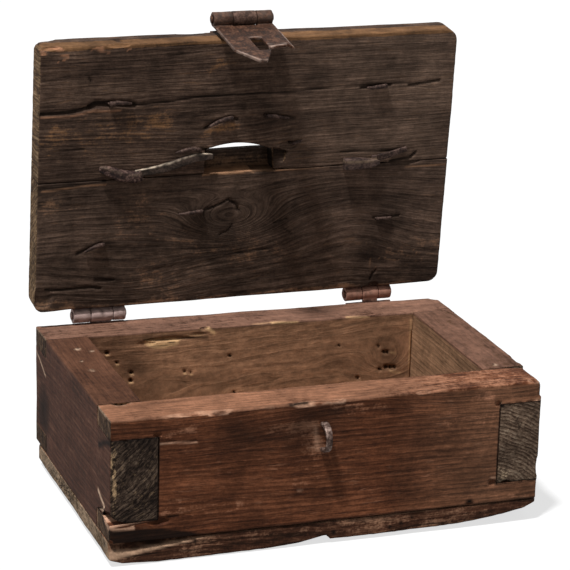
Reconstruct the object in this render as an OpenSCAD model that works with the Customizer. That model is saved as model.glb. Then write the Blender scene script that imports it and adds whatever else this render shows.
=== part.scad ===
// Old wooden offering box with a hinged lid, shown standing open.
// X runs to the right, Y to the back and Z up. The origin is the middle of the
// bottom board's underside, on the surface that the box stands on.

/* [Box boards] */
// Length of the box from side to side
box_w = 300; // [280:1:360]
// Depth of the box from front to back
box_d = 190; // [180:1:240]
// Height of the walls above the bottom board
wall_h = 85; // [75:1:140]
// Thickness of the bottom board
bottom_t = 16; // [10:0.5:20]
// Thickness of the two end boards
end_t = 30; // [22:0.5:32]
// Thickness of the front board
front_t = 32; // [26:0.5:36]
// Thickness of the back board
back_t = 30; // [20:0.5:34]
// How far the back wall stands out behind the bottom board
back_over = 3; // [0:0.5:5]
// Height of the finger above each tenon
finger_top = 14; // [8:0.5:20]
// Height of the finger under each tenon
finger_bottom = 14; // [8:0.5:20]
// Width of the chip broken out of the left tenon's lower corner
chip_w = 17; // [4:0.5:20]
// Height of that chip
chip_h = 9; // [3:0.5:14]
// How far that chip runs in from the front
chip_deep = 14; // [4:0.5:22]

/* [Lid] */
// Length of the lid from side to side
lid_w = 303; // [280:1:360]
// Depth of the lid from its rear edge to its front edge
lid_l = 193; // [180:1:240]
// Thickness of the lid planks
lid_t = 20; // [16:0.5:24]
// How far the lid lies to the left of the box's middle
lid_left = 1; // [0:0.5:4]
// Width of the rear plank on the lid's inner face
rear_plank = 95.5; // [85:0.5:100]
// Width of the lap by which the rear plank runs under the front one
lap_w = 12.5; // [8:0.5:13]
// Thickness of that lap, on the lid's outer side
lap_t = 6; // [4:0.5:8]
// Open joint between the two planks
joint_gap = 0.15; // [0.1:0.05:0.25]
// Radius of the worn lid corners
lid_corner_r = 7; // [2:0.5:10]
// Angle at which the lid stands open
lid_open = 84.8; // [70:0.1:110]
// Gap between the closed lid and the walls
lid_seat = 0.3; // [0.2:0.1:1]

/* [Coin slot] */
// Length of the coin slot
slot_w = 51; // [30:0.5:70]
// Distance of the slot's upper edge from the lid's rear edge
slot_top = 117.5; // [116:0.5:120]
// Radius of the slot's arched upper edge
slot_arc_r = 62; // [55:1:200]
// How far the top of the arch lies to the left of the slot's middle
slot_arc_left = 3.5; // [0:0.5:4]

/* [Hinges] */
// Distance of the left hinge's middle from the box's left end
left_hinge_in = 45; // [42:0.5:55]
// Distance of the right hinge's middle from the box's right end
right_hinge_in = 52.5; // [45:0.5:60]
// Length of the left hinge barrel
left_barrel = 38; // [34:0.5:44]
// Length of the right hinge barrel
right_barrel = 35; // [32:0.5:44]
// Radius of the rolled barrels
barrel_r = 5.2; // [4.6:0.1:5.8]
// Radius of the pins
pin_r = 2.1; // [1.5:0.1:2.5]
// Radial clearance of the pins in the barrels
pin_gap = 0.05; // [0.02:0.01:0.1]
// Gap between neighbouring knuckles
knuckle_gap = 0.4; // [0.3:0.1:1]
// Thickness of the wrought straps
strap_t = 2.4; // [1.8:0.1:2.6]
// Height of the hinge axis above the lid's inner face
hinge_drop = 5.5; // [5.5:0.1:7]
// Distance from the back wall to the hinge axis
hinge_behind = 2.2; // [1:0.1:3]
// Distance from the hinge axis to the lid's rear edge
lid_back = 6.5; // [6:0.5:12]
// Length of the straps on the lid
strap_reach = 170.5; // [162:0.5:174]
// Width of the straps at their far end
strap_tip = 22; // [18:0.5:30]
// Length of the leaves on the back board
leaf_l = 52; // [40:1:60]
// Width of the leaves at their lower end
leaf_tip = 26; // [20:0.5:32]

/* [Hasp and staple] */
// Middle of the hasp and of the slot, left of the box's middle
iron_left = 5.5; // [0:0.5:10]
// Width of the hasp
hasp_w = 43; // [38:0.5:48]
// Distance from the lid's front edge to the hasp axis
hasp_out = 9.5; // [9:0.5:12]
// Length of the hasp's straight sides
hasp_side = 53; // [50:0.5:56]
// Length of the hasp to its point
hasp_l = 72; // [70:0.5:76]
// Angle by which the hasp hangs in towards the box
hasp_lean = 3.3; // [0:0.1:4]
// Length of the hasp's slot
hasp_slot_l = 23; // [21:0.5:24]
// Width of the hasp's slot
hasp_slot_w = 8.5; // [7:0.5:9]
// Distance from the hasp axis to the middle of its slot
hasp_slot_at = 41.7; // [41.2:0.1:42]
// Length of the hasp strap on the lid
hasp_strap_l = 68; // [60:1:72]
// Height of the staple
staple_h = 20.3; // [17:0.1:20.5]
// How far the staple stands out of the front
staple_out = 12.5; // [12:0.5:17]
// Width of the staple's bar
staple_w = 5; // [4:0.5:6]
// Thickness of the staple's bar
staple_t = 2.6; // [2:0.1:3]
// Depth of the staple's legs in the front board
staple_leg = 24; // [16:1:25]

/* [Nails] */
// Radius of the nails' shanks
nail_r = 1.5; // [1:0.1:1.8]
// Radius of the nails' forged heads
nail_head_r = 4.5; // [3.5:0.1:5.5]
// Height of the nails' forged heads
nail_head_h = 1.8; // [1.2:0.1:2.4]
// Clearance round nails, pins and staple legs in their holes
hole_gap = 0.05; // [0.02:0.01:0.2]
// Length of the nails that hold the bottom board
bottom_nail_l = 42; // [32:1:50]
// Length of the nails that lock the corner joints
corner_nail_l = 40; // [25:1:50]
// Length of the nails that hold the leaves
leaf_nail_l = 20; // [14:1:22]
// Length of the short nails that end inside the lid
blind_nail_l = 14; // [10:1:15]

/* [Split pins] */
// Width of the split pins' shanks
split_w = 8; // [6:0.5:9]
// Thickness of the split pins' shanks
split_t = 5; // [4:0.5:6]
// Radius of the split pins' heads
split_head_r = 8; // [7:0.5:10]
// Radius of the thick leg
thick_leg_r = 4.6; // [3.5:0.1:5.2]
// How far the thick leg's middle lies off the lid's face
thick_leg_off = 2.2; // [1:0.1:3]
// Width of the thin leg
thin_leg_w = 6.5; // [4:0.5:8]
// Thickness of the thin leg
thin_leg_t = 2.6; // [2:0.1:3.5]
// Length of the left pin's thick leg
left_thick_l = 25.6; // [18:0.2:30]
// Length of the left pin's thin leg
left_thin_l = 57; // [30:1:60]
// Length of the right pin's thick leg
right_thick_l = 20; // [16:0.5:24]
// Length of the right pin's thin leg
right_thin_l = 25; // [15:1:26]

/* [Hidden] */
$fn = 48;

// Levels and faces of the box
wall_top = bottom_t + wall_h;
left_x = -box_w / 2;
right_x = box_w / 2;
front_y = -box_d / 2;
back_y = box_d / 2 + back_over;
wall_d = back_y - front_y;
tenon_low = bottom_t + finger_bottom;
tenon_h = wall_h - finger_bottom - finger_top;

// The hinge axis, and the lid in its closed frame round that axis
hinge_y = back_y + hinge_behind;
hinge_z = wall_top + lid_seat + hinge_drop;
lid_in = -hinge_drop;
lid_out = lid_in + lid_t;
lid_x0 = -lid_left - lid_w / 2;
lid_x1 = -lid_left + lid_w / 2;
strap_top = lid_out + strap_t;
bend_r = 0.6;
through = 1;

// The hasp axis in the lid's frame
iron_x = -iron_left;
hasp_y = -(lid_back + lid_l + hasp_out);
hasp_z = strap_top - barrel_r;

// The staple's middle is level with the slot of the hanging hasp
staple_z = hinge_z + hasp_z - hasp_slot_at;

// Each hinge: middle, barrel length, middle knuckle's length and its offset
left_hinge_x = left_x + left_hinge_in;
right_hinge_x = right_x - right_hinge_in;
LEFT = [left_hinge_x, left_barrel, left_barrel * 0.43, left_barrel * 0.045];
RIGHT = [right_hinge_x, right_barrel, right_barrel * 0.36, right_barrel * 0.035];
hasp_knuckle_l = hasp_w * 0.407;
hasp_knuckle_off = hasp_w * 0.023;

// Pins through the hinge straps and the plank joint: across the lid, from its rear edge
LEFT_SPLIT = [left_hinge_x + strap_tip * 0.23, rear_plank + split_w * 0.75];
RIGHT_SPLIT = [right_hinge_x - strap_tip * 0.11, rear_plank + split_w * 0.56];

// Clinched nails: across, from the rear edge, direction and length of the bent tail
LEFT_CLINCHED = [
    [left_hinge_x + strap_tip * 0.05, strap_reach * 0.287, 195, nail_r * 9.4],
    [left_hinge_x + strap_tip * 0.05, strap_reach * 0.889, 5, nail_r * 10.6]
];
RIGHT_CLINCHED = [
    [right_hinge_x + strap_tip * 0.02, strap_reach * 0.314, 4, nail_r * 8],
    [right_hinge_x + strap_tip * 0.07, strap_reach * 0.903, 184, nail_r * 10]
];
HASP_CLINCHED = [
    [iron_x - hasp_w * 0.2, lid_l - hasp_strap_l * 0.83, 188, nail_r * 12.6],
    [iron_x + hasp_w * 0.36, lid_l - hasp_strap_l * 0.83, 357, nail_r * 11.4]
];
LOOSE_CLINCHED = [
    [iron_x - slot_w * 0.54, rear_plank * 0.717, 186, nail_r * 12],
    [iron_x - slot_w / 2 - nail_head_r * 1.22, slot_top - nail_head_r * 0.82, 177, nail_r * 12],
    [iron_x + slot_w / 2 + nail_head_r * 2.2, slot_top - nail_head_r * 0.67, 18, nail_r * 5.4]
];
tail_r = nail_r * 0.87;
blind_from_rear = strap_reach * 0.133;
hasp_blind_v = lid_l - hasp_strap_l * 0.206;
hasp_blind_x = hasp_w * 0.28;

iron = "dimgray";
rust = [0.36, 0.26, 0.23];
wood_red = [0.33, 0.19, 0.13];
wood_brown = [0.36, 0.27, 0.20];
wood_dark = [0.24, 0.18, 0.15];

// A flat shape in Y and Z, drawn out along X
module along_x(x0, x1) {
    translate([x0, 0, 0]) rotate([90, 0, 90]) linear_extrude(x1 - x0) children();
}

// The frame of the hinge axis with the lid closed, opened to where the lid stands
module on_lid() {
    translate([0, hinge_y, hinge_z]) rotate([-lid_open, 0, 0]) children();
}

// The frame of the hasp axis, with the hasp hanging along -Z
module on_hasp() {
    on_lid() translate([iron_x, hasp_y, hasp_z]) rotate([hasp_lean, 0, 0]) children();
}

// Distance v from the lid's rear edge as a Y in the lid's frame
function lid_y(v) = -(lid_back + v);

// Nails that stand along +Z with their head below, for the underside
module up_nail(l, head_z) {
    translate([0, 0, head_z]) cylinder(h = nail_head_h, r1 = nail_head_r * 0.8, r2 = nail_head_r);
    cylinder_z(nail_r, head_z + nail_head_h, l - 6);
    translate([0, 0, l - 6]) cylinder(h = 6, r1 = nail_r, r2 = 0.3);
}

module cylinder_z(r, z0, z1) {
    translate([0, 0, z0]) cylinder(h = z1 - z0, r = r);
}

// Places of the nails that hold the bottom board
module bottom_nail_places() {
    for (x = [-0.32, 0, 0.32]) {
        translate([x * box_w, front_y + front_t / 2, 0]) children();
        translate([x * box_w, back_y - back_t / 2, 0]) children();
    }
    for (y = [-0.18, 0.18]) {
        translate([left_x + end_t / 2, y * box_d, 0]) children();
        translate([right_x - end_t / 2, y * box_d, 0]) children();
    }
}

module bottom_nail_holes() {
    recess = nail_head_h + 0.4;
    bottom_nail_places() {
        cylinder_z(nail_head_r + hole_gap, -through, recess);
        cylinder_z(nail_r + hole_gap, 0, bottom_nail_l + through);
    }
}

// Nails driven down through the upper fingers into the tenons
module corner_nail_places() {
    for (x = [left_x + end_t / 2, right_x - end_t / 2])
        for (y = [front_y + front_t * 0.75, back_y - back_t * 0.75])
            translate([x, y, wall_top]) children();
}

module corner_nail_holes() {
    corner_nail_places() {
        cylinder_z(nail_head_r * 0.8 + hole_gap, -nail_head_h - 0.2, through);
        cylinder_z(nail_r + hole_gap, -corner_nail_l - 1, 0);
    }
}

module bottom_board() color(wood_brown) difference() {
    translate([left_x, front_y, 0]) cube([box_w, box_d, bottom_t]);
    bottom_nail_holes();
}

module bottom_nails() color(iron) bottom_nail_places() up_nail(bottom_nail_l, 0.2);

module corner_nails() color(iron) corner_nail_places() {
    cylinder_z(nail_head_r * 0.8, -nail_head_h, -0.1);
    cylinder_z(nail_r, -corner_nail_l + 5, -0.1);
    translate([0, 0, -corner_nail_l]) cylinder(h = 5, r1 = 0.3, r2 = nail_r);
}

// A front or back board, open at both ends for the end boards' tenons
module long_board(y, t) difference() {
    translate([left_x, y, bottom_t]) cube([box_w, t, wall_h]);
    for (x = [left_x - through, right_x - end_t])
        translate([x, y - through, tenon_low]) cube([end_t + through, t + 2 * through, tenon_h]);
    bottom_nail_holes();
    corner_nail_holes();
}

// Two slots for the staple's legs, at the top and bottom of its bar
module staple_leg_rooms() {
    g = hole_gap;
    for (z = [staple_z + staple_h / 2 - staple_t, staple_z - staple_h / 2])
        translate([iron_x - staple_w / 2 - g, front_y - through, z - g])
            cube([staple_w + 2 * g, staple_leg + through + 1, staple_t + 2 * g]);
}

module front_board() color(wood_red) difference() {
    long_board(front_y, front_t);
    staple_leg_rooms();
}

// Holes in the back board for the nails of one leaf
module leaf_nail_places(hinge) {
    for (side = [-1, 1])
        translate([hinge[0] + side * hinge[1] * 0.24, back_y, wall_top - leaf_l * 0.32]) children();
    translate([hinge[0], back_y, wall_top - leaf_l * 0.69]) children();
}

module leaf_nail_holes() {
    for (hinge = [LEFT, RIGHT])
        leaf_nail_places(hinge) rotate([90, 0, 0]) cylinder_z(nail_r + hole_gap, -10, leaf_nail_l + 1);
}

module back_board() color(wood_red) difference() {
    long_board(back_y - back_t, back_t);
    leaf_nail_holes();
}

// An end board between the long boards, with a tenon through each of them
module end_board(x) difference() {
    union() {
        translate([x, front_y + front_t, bottom_t]) cube([end_t, wall_d - front_t - back_t, wall_h]);
        translate([x, front_y, tenon_low]) cube([end_t, wall_d, tenon_h]);
    }
    bottom_nail_holes();
    corner_nail_holes();
}

// The corner that has broken away under the left tenon's end
module tenon_chip() {
    translate([left_x, front_y - through, tenon_low]) rotate([90, 0, 0]) mirror([0, 0, 1])
        linear_extrude(chip_deep + through)
            polygon([[-through, -through], [chip_w, -through], [chip_w, 0], [-through, chip_h]]);
}

module left_board() color(wood_dark) difference() {
    end_board(left_x);
    tenon_chip();
}

module right_board() color(wood_brown) end_board(right_x - end_t);

// Side view of the staple: an arch on two legs
module staple_side(r) {
    translate([front_y - staple_out + staple_h / 2, staple_z]) circle(r = r);
    translate([front_y - staple_out + staple_h / 2, staple_z - r])
        square([staple_leg + staple_out - staple_h / 2, 2 * r]);
}

module staple() color(rust) {
    inner = staple_h / 2 - staple_t;
    along_x(iron_x - staple_w / 2, iron_x + staple_w / 2) difference() {
        staple_side(staple_h / 2);
        staple_side(inner);
        translate([front_y + staple_leg - 1, staple_z - inner]) square([2, 2 * inner]);
    }
}

// One knuckle of a barrel round the X axis, without its bore
module knuckle(x0, x1) {
    translate([x0, 0, 0]) rotate([0, 90, 0]) cylinder(h = x1 - x0, r = barrel_r);
}

module pin_bore(l) {
    translate([-l, 0, 0]) rotate([0, 90, 0]) cylinder(h = 2 * l, r = pin_r + pin_gap);
}

// A pin with peened ends that keep it in its barrel
module barrel_pin(l) {
    end_gap = 0.3;
    end_h = 1;
    rotate([0, 90, 0]) {
        cylinder_z(pin_r, -l / 2 - end_gap - end_h, l / 2 + end_gap + end_h);
        cylinder_z(pin_r + 1, l / 2 + end_gap, l / 2 + end_gap + end_h);
        cylinder_z(pin_r + 1, -l / 2 - end_gap - end_h, -l / 2 - end_gap);
    }
}

// A leaf nailed to the back board, with the middle knuckle of its hinge
module hinge_leaf(hinge) {
    mid = hinge[3];
    half = hinge[2] / 2 - knuckle_gap / 2;
    low = wall_top - hinge_z;
    clear = barrel_r + 0.6;
    difference() {
        translate([hinge[0], hinge_y, hinge_z]) union() {
            knuckle(mid - half, mid + half);
            translate([mid - half, -hinge_behind, -clear - through])
                cube([2 * half, strap_t, clear + through - pin_r - 0.6]);
            translate([0, -hinge_behind, 0]) rotate([90, 0, 0]) mirror([0, 0, 1])
                linear_extrude(strap_t) {
                    polygon([
                        [-hinge[1] / 2, -clear], [hinge[1] / 2, -clear],
                        [leaf_tip / 2, low - leaf_l + leaf_tip / 2],
                        [-leaf_tip / 2, low - leaf_l + leaf_tip / 2]
                    ]);
                    translate([0, low - leaf_l + leaf_tip / 2]) circle(d = leaf_tip);
                }
        }
        translate([hinge[0], hinge_y, hinge_z]) pin_bore(hinge[1]);
        leaf_nail_places(hinge) rotate([90, 0, 0]) cylinder_z(nail_r + hole_gap, -10, 10);
    }
}

module left_hinge_leaf() color(rust) hinge_leaf(LEFT);

module right_hinge_leaf() color(rust) hinge_leaf(RIGHT);

// A nail driven along -Z through a strap whose outer face is at Z = 0
module strap_nail(l) {
    cylinder(h = nail_head_h, r1 = nail_head_r, r2 = nail_head_r * 0.4);
    cylinder_z(nail_r, -l + 5, 0);
    translate([0, 0, -l]) cylinder(h = 5, r1 = 0.3, r2 = nail_r);
}

module leaf_nails() color(iron) {
    for (hinge = [LEFT, RIGHT])
        leaf_nail_places(hinge) translate([0, strap_t, 0]) rotate([-90, 0, 0])
            strap_nail(leaf_nail_l);
}

module left_hinge_pin() color(iron) translate([LEFT[0], hinge_y, hinge_z]) barrel_pin(LEFT[1]);

module right_hinge_pin() color(iron) translate([RIGHT[0], hinge_y, hinge_z]) barrel_pin(RIGHT[1]);

// Outline of the lid seen from above, with worn corners
module lid_outline() {
    r = lid_corner_r;
    x0 = lid_x0;
    y0 = lid_y(lid_l);
    translate([x0 + r, y0]) square([lid_w - 2 * r, lid_l]);
    translate([x0, y0 + r]) square([lid_w, lid_l - 2 * r]);
    for (x = [x0 + r, lid_x1 - r], y = [y0 + r, lid_y(0) - r]) translate([x, y]) circle(r = r);
}

module clinched_places(list) {
    for (n = list) translate([n[0], lid_y(n[1]), 0]) children();
}

module blind_places(x) {
    translate([x, lid_y(blind_from_rear), 0]) children();
}

module hasp_blind_places() {
    for (x = [iron_x - hasp_blind_x, iron_x + hasp_blind_x])
        translate([x, lid_y(hasp_blind_v), 0]) children();
}

// Everything that is driven through the lid, as holes
module lid_holes() {
    hole = nail_r + hole_gap;
    g = hole_gap;
    for (list = [LEFT_CLINCHED, RIGHT_CLINCHED, HASP_CLINCHED, LOOSE_CLINCHED])
        clinched_places(list) cylinder_z(hole, lid_in - through, strap_top + through);
    for (x = [left_hinge_x, right_hinge_x])
        blind_places(x) cylinder_z(hole, strap_top - blind_nail_l - 1, strap_top + through);
    hasp_blind_places() cylinder_z(hole, strap_top - blind_nail_l - 1, strap_top + through);
    for (p = [LEFT_SPLIT, RIGHT_SPLIT])
        translate([p[0] - split_w / 2 - g, lid_y(p[1]) - split_t / 2 - g, lid_in - through])
            cube([split_w + 2 * g, split_t + 2 * g, lid_t + strap_t + 2 * through]);
}

// Side view of the rear plank: its lap lies on the lid's outer side
module rear_side(gap) {
    translate([lid_y(rear_plank + gap), lid_in - through])
        square([rear_plank + gap + through, lid_t + 2 * through]);
    translate([lid_y(rear_plank + lap_w + gap), lid_out - lap_t - gap])
        square([rear_plank + lap_w + gap, lap_t + gap + through]);
}

module lid_blank() intersection() {
    translate([0, 0, lid_in]) linear_extrude(lid_t) lid_outline();
    children();
}

module lid_rear_plank() color(wood_dark) on_lid() difference() {
    lid_blank() along_x(lid_x0 - through, lid_x1 + through) rear_side(0);
    lid_holes();
}

// The notch in the front plank's edge; above the lap it is the coin slot
module coin_slot() {
    translate([0, 0, lid_in - through]) linear_extrude(lid_t + 2 * through) intersection() {
        translate([iron_x - slot_w / 2, lid_y(slot_top)])
            square([slot_w, slot_top - rear_plank + 2 * through]);
        translate([iron_x - slot_arc_left, lid_y(slot_top) + slot_arc_r])
            circle(r = slot_arc_r, $fn = 180);
    }
}

module lid_front_plank() color(wood_dark) on_lid() difference() {
    translate([0, 0, lid_in]) linear_extrude(lid_t) lid_outline();
    along_x(lid_x0 - through, lid_x1 + through) rear_side(joint_gap);
    coin_slot();
    lid_holes();
}

// Side view of a strap's root: up the lid's rear edge and over onto its outer face
module strap_root_side() {
    inner_y = -barrel_r;
    turn = inner_y - bend_r;
    translate([inner_y, 0]) square([strap_t, lid_out - bend_r]);
    translate([turn - 8, lid_out]) square([8, strap_t]);
    translate([turn, lid_out - bend_r]) intersection() {
        difference() {
            circle(r = bend_r + strap_t);
            circle(r = bend_r);
        }
        square(bend_r + strap_t + 1);
    }
}

// A strap on the lid's outer face, with the outer knuckles of its hinge
module hinge_strap(hinge) {
    half = hinge[1] / 2;
    mid0 = hinge[3] - hinge[2] / 2;
    mid1 = hinge[3] + hinge[2] / 2;
    tip_y = lid_y(strap_reach) + strap_tip / 2;
    difference() {
        translate([hinge[0], 0, 0]) union() {
            knuckle(-half, mid0 - knuckle_gap / 2);
            knuckle(mid1 + knuckle_gap / 2, half);
            difference() {
                along_x(-half, half) strap_root_side();
                translate([mid0 - knuckle_gap / 2, -barrel_r - through, -through])
                    cube([mid1 - mid0 + knuckle_gap, barrel_r + through, barrel_r + 0.6 + through]);
            }
            translate([0, 0, lid_out]) linear_extrude(strap_t) {
                polygon([
                    [-half, -barrel_r - bend_r], [half, -barrel_r - bend_r],
                    [strap_tip / 2, tip_y], [-strap_tip / 2, tip_y]
                ]);
                translate([0, tip_y]) circle(d = strap_tip);
            }
        }
        translate([hinge[0], 0, 0]) pin_bore(hinge[1]);
        lid_holes();
    }
}

module left_hinge_strap() color(rust) on_lid() hinge_strap(LEFT);

module right_hinge_strap() color(rust) on_lid() hinge_strap(RIGHT);

// A nail driven through the lid from its outer face, its end bent over on the inner one
module clinched_nail(n, head_z) {
    tail_z = lid_in - hole_gap - tail_r;
    translate([n[0], lid_y(n[1]), 0]) {
        translate([0, 0, head_z]) cylinder(h = nail_head_h, r1 = nail_head_r, r2 = nail_head_r * 0.4);
        cylinder_z(nail_r, tail_z, head_z);
        translate([0, 0, tail_z]) rotate([0, 0, -n[2]]) rotate([0, 90, 0])
            cylinder(h = n[3], r1 = tail_r, r2 = tail_r * 0.6);
        translate([0, 0, tail_z]) sphere(r = tail_r);
    }
}

module strap_nails(x, list) {
    for (n = list) clinched_nail(n, strap_top);
    blind_places(x) translate([0, 0, strap_top]) strap_nail(blind_nail_l);
}

module left_strap_nails() color(iron) on_lid() strap_nails(left_hinge_x, LEFT_CLINCHED);

module right_strap_nails() color(iron) on_lid() strap_nails(right_hinge_x, RIGHT_CLINCHED);

module lid_nails() color(iron) on_lid() {
    for (n = LOOSE_CLINCHED) clinched_nail(n, lid_out);
}

// A round bar on the lid's inner face, cut flat where it lies on the wood
module thick_leg(slope, l) difference() {
    translate([0, 0, lid_in - thick_leg_off]) rotate([0, 0, -slope]) rotate([0, 90, 0]) {
        cylinder(h = l, r = thick_leg_r);
        sphere(r = thick_leg_r);
        translate([0, 0, l]) sphere(r = thick_leg_r);
    }
    translate([-2 * l, -2 * l, lid_in - hole_gap]) cube([4 * l, 4 * l, lid_t]);
}

// A flat bar on the lid's inner face
module thin_leg(slope, l) {
    translate([0, 0, lid_in - hole_gap - thin_leg_t]) rotate([0, 0, -slope])
        translate([0, -thin_leg_w / 2, 0]) cube([l, thin_leg_w, thin_leg_t]);
}

// A forged pin through strap and lid
module split_pin(p) {
    translate([p[0], lid_y(p[1]), strap_top])
        cylinder(h = split_w * 0.38, r1 = split_head_r, r2 = split_head_r * 0.45);
    translate([p[0] - split_w / 2, lid_y(p[1]) - split_t / 2, lid_in - thick_leg_off])
        cube([split_w, split_t, strap_top - lid_in + thick_leg_off + 0.5]);
}

// The left pin stands near the outer end of its thick leg
module left_split_pin() color(rust) on_lid() {
    split_pin(LEFT_SPLIT);
    translate([LEFT_SPLIT[0], lid_y(LEFT_SPLIT[1]), 0]) {
        translate([-split_w * 0.75, -split_w * 0.19, 0]) thick_leg(-12.4, left_thick_l);
        translate([split_w * 2, split_w * 0.25, 0]) thin_leg(11.1, left_thin_l);
    }
}

// The right pin stands at the inner end of its thick leg
module right_split_pin() color(rust) on_lid() {
    split_pin(RIGHT_SPLIT);
    translate([RIGHT_SPLIT[0], lid_y(RIGHT_SPLIT[1]), 0]) {
        translate([-split_w * 0.4 - right_thick_l, split_w * 0.42, 0]) thick_leg(1.7, right_thick_l);
        translate([-split_w * 0.4, split_w * 0.35, 0]) thin_leg(10.5, right_thin_l);
    }
}

// The strap that carries the hasp, with the middle knuckle
module hasp_strap() color(rust) on_lid() difference() {
    half = hasp_knuckle_l / 2 - knuckle_gap / 2;
    tongue = hasp_out + through;
    union() {
        translate([iron_x + hasp_knuckle_off, hasp_y, hasp_z]) {
            knuckle(-half, half);
            translate([-half, 0, barrel_r - strap_t]) cube([2 * half, tongue, strap_t]);
        }
        translate([iron_x - hasp_w / 2, lid_y(lid_l), lid_out]) cube([hasp_w, hasp_strap_l, strap_t]);
    }
    translate([iron_x, hasp_y, hasp_z]) pin_bore(hasp_w);
    lid_holes();
}

module hasp_strap_nails() color(iron) on_lid() {
    for (n = HASP_CLINCHED) clinched_nail(n, strap_top);
    hasp_blind_places() translate([0, 0, strap_top]) strap_nail(blind_nail_l);
}

module hasp_pin() color(iron) on_lid() translate([iron_x, hasp_y, hasp_z]) barrel_pin(hasp_w);

// The hasp's outline: pointed, with its right lower corner torn away
module hasp_outline() {
    half = hasp_w / 2;
    polygon([
        [-half, 0], [-half, -hasp_side], [-half * 0.45, -hasp_l + 1], [-half * 0.23, -hasp_l],
        [half * 0.14, -hasp_side - 3], [half * 0.23, -hasp_side + 4], [half * 0.79, -hasp_side + 6],
        [half * 0.87, -hasp_side + 8.5], [half, -hasp_side + 0.5], [half, 0]
    ]);
}

// The hasp, with the outer knuckles of its barrel and the torn flap bent up
module hasp_plate() color(rust) on_hasp() {
    half = hasp_w / 2;
    mid0 = hasp_knuckle_off - hasp_knuckle_l / 2 - knuckle_gap / 2;
    mid1 = hasp_knuckle_off + hasp_knuckle_l / 2 + knuckle_gap / 2;
    face = barrel_r - strap_t;
    difference() {
        union() {
            knuckle(-half, mid0);
            knuckle(mid1, half);
            translate([0, barrel_r, 0]) rotate([90, 0, 0]) linear_extrude(strap_t) hasp_outline();
            translate([half * 0.26, face + 1.2, -hasp_side + 6.6]) rotate([-40, 0, 0])
                translate([0, -hasp_w / 12, 0]) cube([half / 2, hasp_w / 12, strap_t - 0.2]);
        }
        translate([mid0, -barrel_r - through, -barrel_r - 0.6])
            cube([mid1 - mid0, 2 * barrel_r + 2 * through, 2 * barrel_r]);
        translate([-hasp_slot_w / 2, face - through, -hasp_slot_at - hasp_slot_l / 2])
            cube([hasp_slot_w, strap_t + 2 * through, hasp_slot_l]);
        pin_bore(hasp_w);
    }
}

bottom_board();
front_board();
back_board();
left_board();
right_board();
bottom_nails();
corner_nails();
staple();
left_hinge_leaf();
right_hinge_leaf();
leaf_nails();
left_hinge_pin();
right_hinge_pin();
lid_rear_plank();
lid_front_plank();
left_hinge_strap();
right_hinge_strap();
left_strap_nails();
right_strap_nails();
left_split_pin();
right_split_pin();
lid_nails();
hasp_strap();
hasp_strap_nails();
hasp_pin();
hasp_plate();
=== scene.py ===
from math import cos, pi, radians, sin

import bmesh
import bpy
import numpy as np
from mathutils import Matrix, Vector


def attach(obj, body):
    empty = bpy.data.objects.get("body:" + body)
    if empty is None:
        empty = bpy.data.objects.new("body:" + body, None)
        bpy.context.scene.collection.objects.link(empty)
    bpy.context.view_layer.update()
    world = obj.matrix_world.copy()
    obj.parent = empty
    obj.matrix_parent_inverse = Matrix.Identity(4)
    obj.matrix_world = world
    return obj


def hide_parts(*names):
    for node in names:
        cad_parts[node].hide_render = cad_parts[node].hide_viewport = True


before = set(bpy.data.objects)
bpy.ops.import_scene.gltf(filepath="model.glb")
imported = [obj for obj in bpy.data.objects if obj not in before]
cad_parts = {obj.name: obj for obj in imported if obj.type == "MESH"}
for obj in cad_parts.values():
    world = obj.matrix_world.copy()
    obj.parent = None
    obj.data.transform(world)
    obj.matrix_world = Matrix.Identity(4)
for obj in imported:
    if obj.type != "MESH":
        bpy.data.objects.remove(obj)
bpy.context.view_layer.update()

# Bottom board
# One softwood board under the four walls, nailed on from below. Its lower front edge is
# worn away to the right and its upper edge has split off at the left front corner.
# All sizes are millimetres in the row frame until a piece is finished.
MM = 0.001
LEFT, RIGHT, FRONT, BACK = -150.0, 150.0, -95.0, 95.0
FLOOR_T, RIM = 16.0, 101.0
FRONT_T, BACK_T, END_T = 32.0, 30.0, 30.0
WALL_BACK, ASKEW = 98.0, -0.026
INNER = RIGHT - END_T


def ripple(points, size, seed):
    """Smooth unevenness from -1 to 1; size is the length of its waves, one or three numbers."""
    spot = points / size
    cell = np.floor(spot)
    part = spot - cell
    part = part * part * (3 - 2 * part)
    total = np.zeros(len(points))
    for corner in np.ndindex(2, 2, 2):
        step = np.array(corner)
        value = np.sin((cell + step) @ np.array([127.1, 311.7, 74.7]) + seed * 17.3) * 43758.5453
        total += np.prod(np.where(step == 1, part, 1 - part), axis=1) * (value - np.floor(value))
    return total * 2 - 1


def sawn(low, high, stops, step):
    """A plain board, cut into a grid of about step mm, with lines at its stops and near its edges."""
    bm = bmesh.new()
    bmesh.ops.create_cube(bm, size=1)
    bmesh.ops.scale(bm, vec=Vector(high) - Vector(low), verts=bm.verts)
    bmesh.ops.translate(bm, vec=(Vector(high) + Vector(low)) / 2, verts=bm.verts)
    for axis in range(3):
        lines = set(stops.get(axis, ()))
        # Closer rows near the edges, for their rounding
        for inset in (0.5, 1.2, 2.2, 3.5):
            lines |= {low[axis] + inset, high[axis] - inset}
        lines = sorted(line for line in lines if low[axis] + 0.04 < line < high[axis] - 0.04)
        across = Vector((0, 0, 0))
        across[axis] = 1
        for line in lines:
            everything = bm.verts[:] + bm.edges[:] + bm.faces[:]
            bmesh.ops.bisect_plane(
                bm, geom=everything, dist=1e-5, plane_co=across * line, plane_no=across
            )
        lines = [low[axis]] + lines + [high[axis]]
        for start, end in zip(lines, lines[1:]):
            cuts = round((end - start) / step[axis]) - 1
            if cuts > 0:
                edges = [
                    e
                    for e in bm.edges
                    if abs(min(v.co[axis] for v in e.verts) - start) < 1e-3
                    and abs(max(v.co[axis] for v in e.verts) - end) < 1e-3
                ]
                bmesh.ops.subdivide_edges(bm, edges=edges, cuts=cuts, use_grid_fill=True)
    return bm


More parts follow.
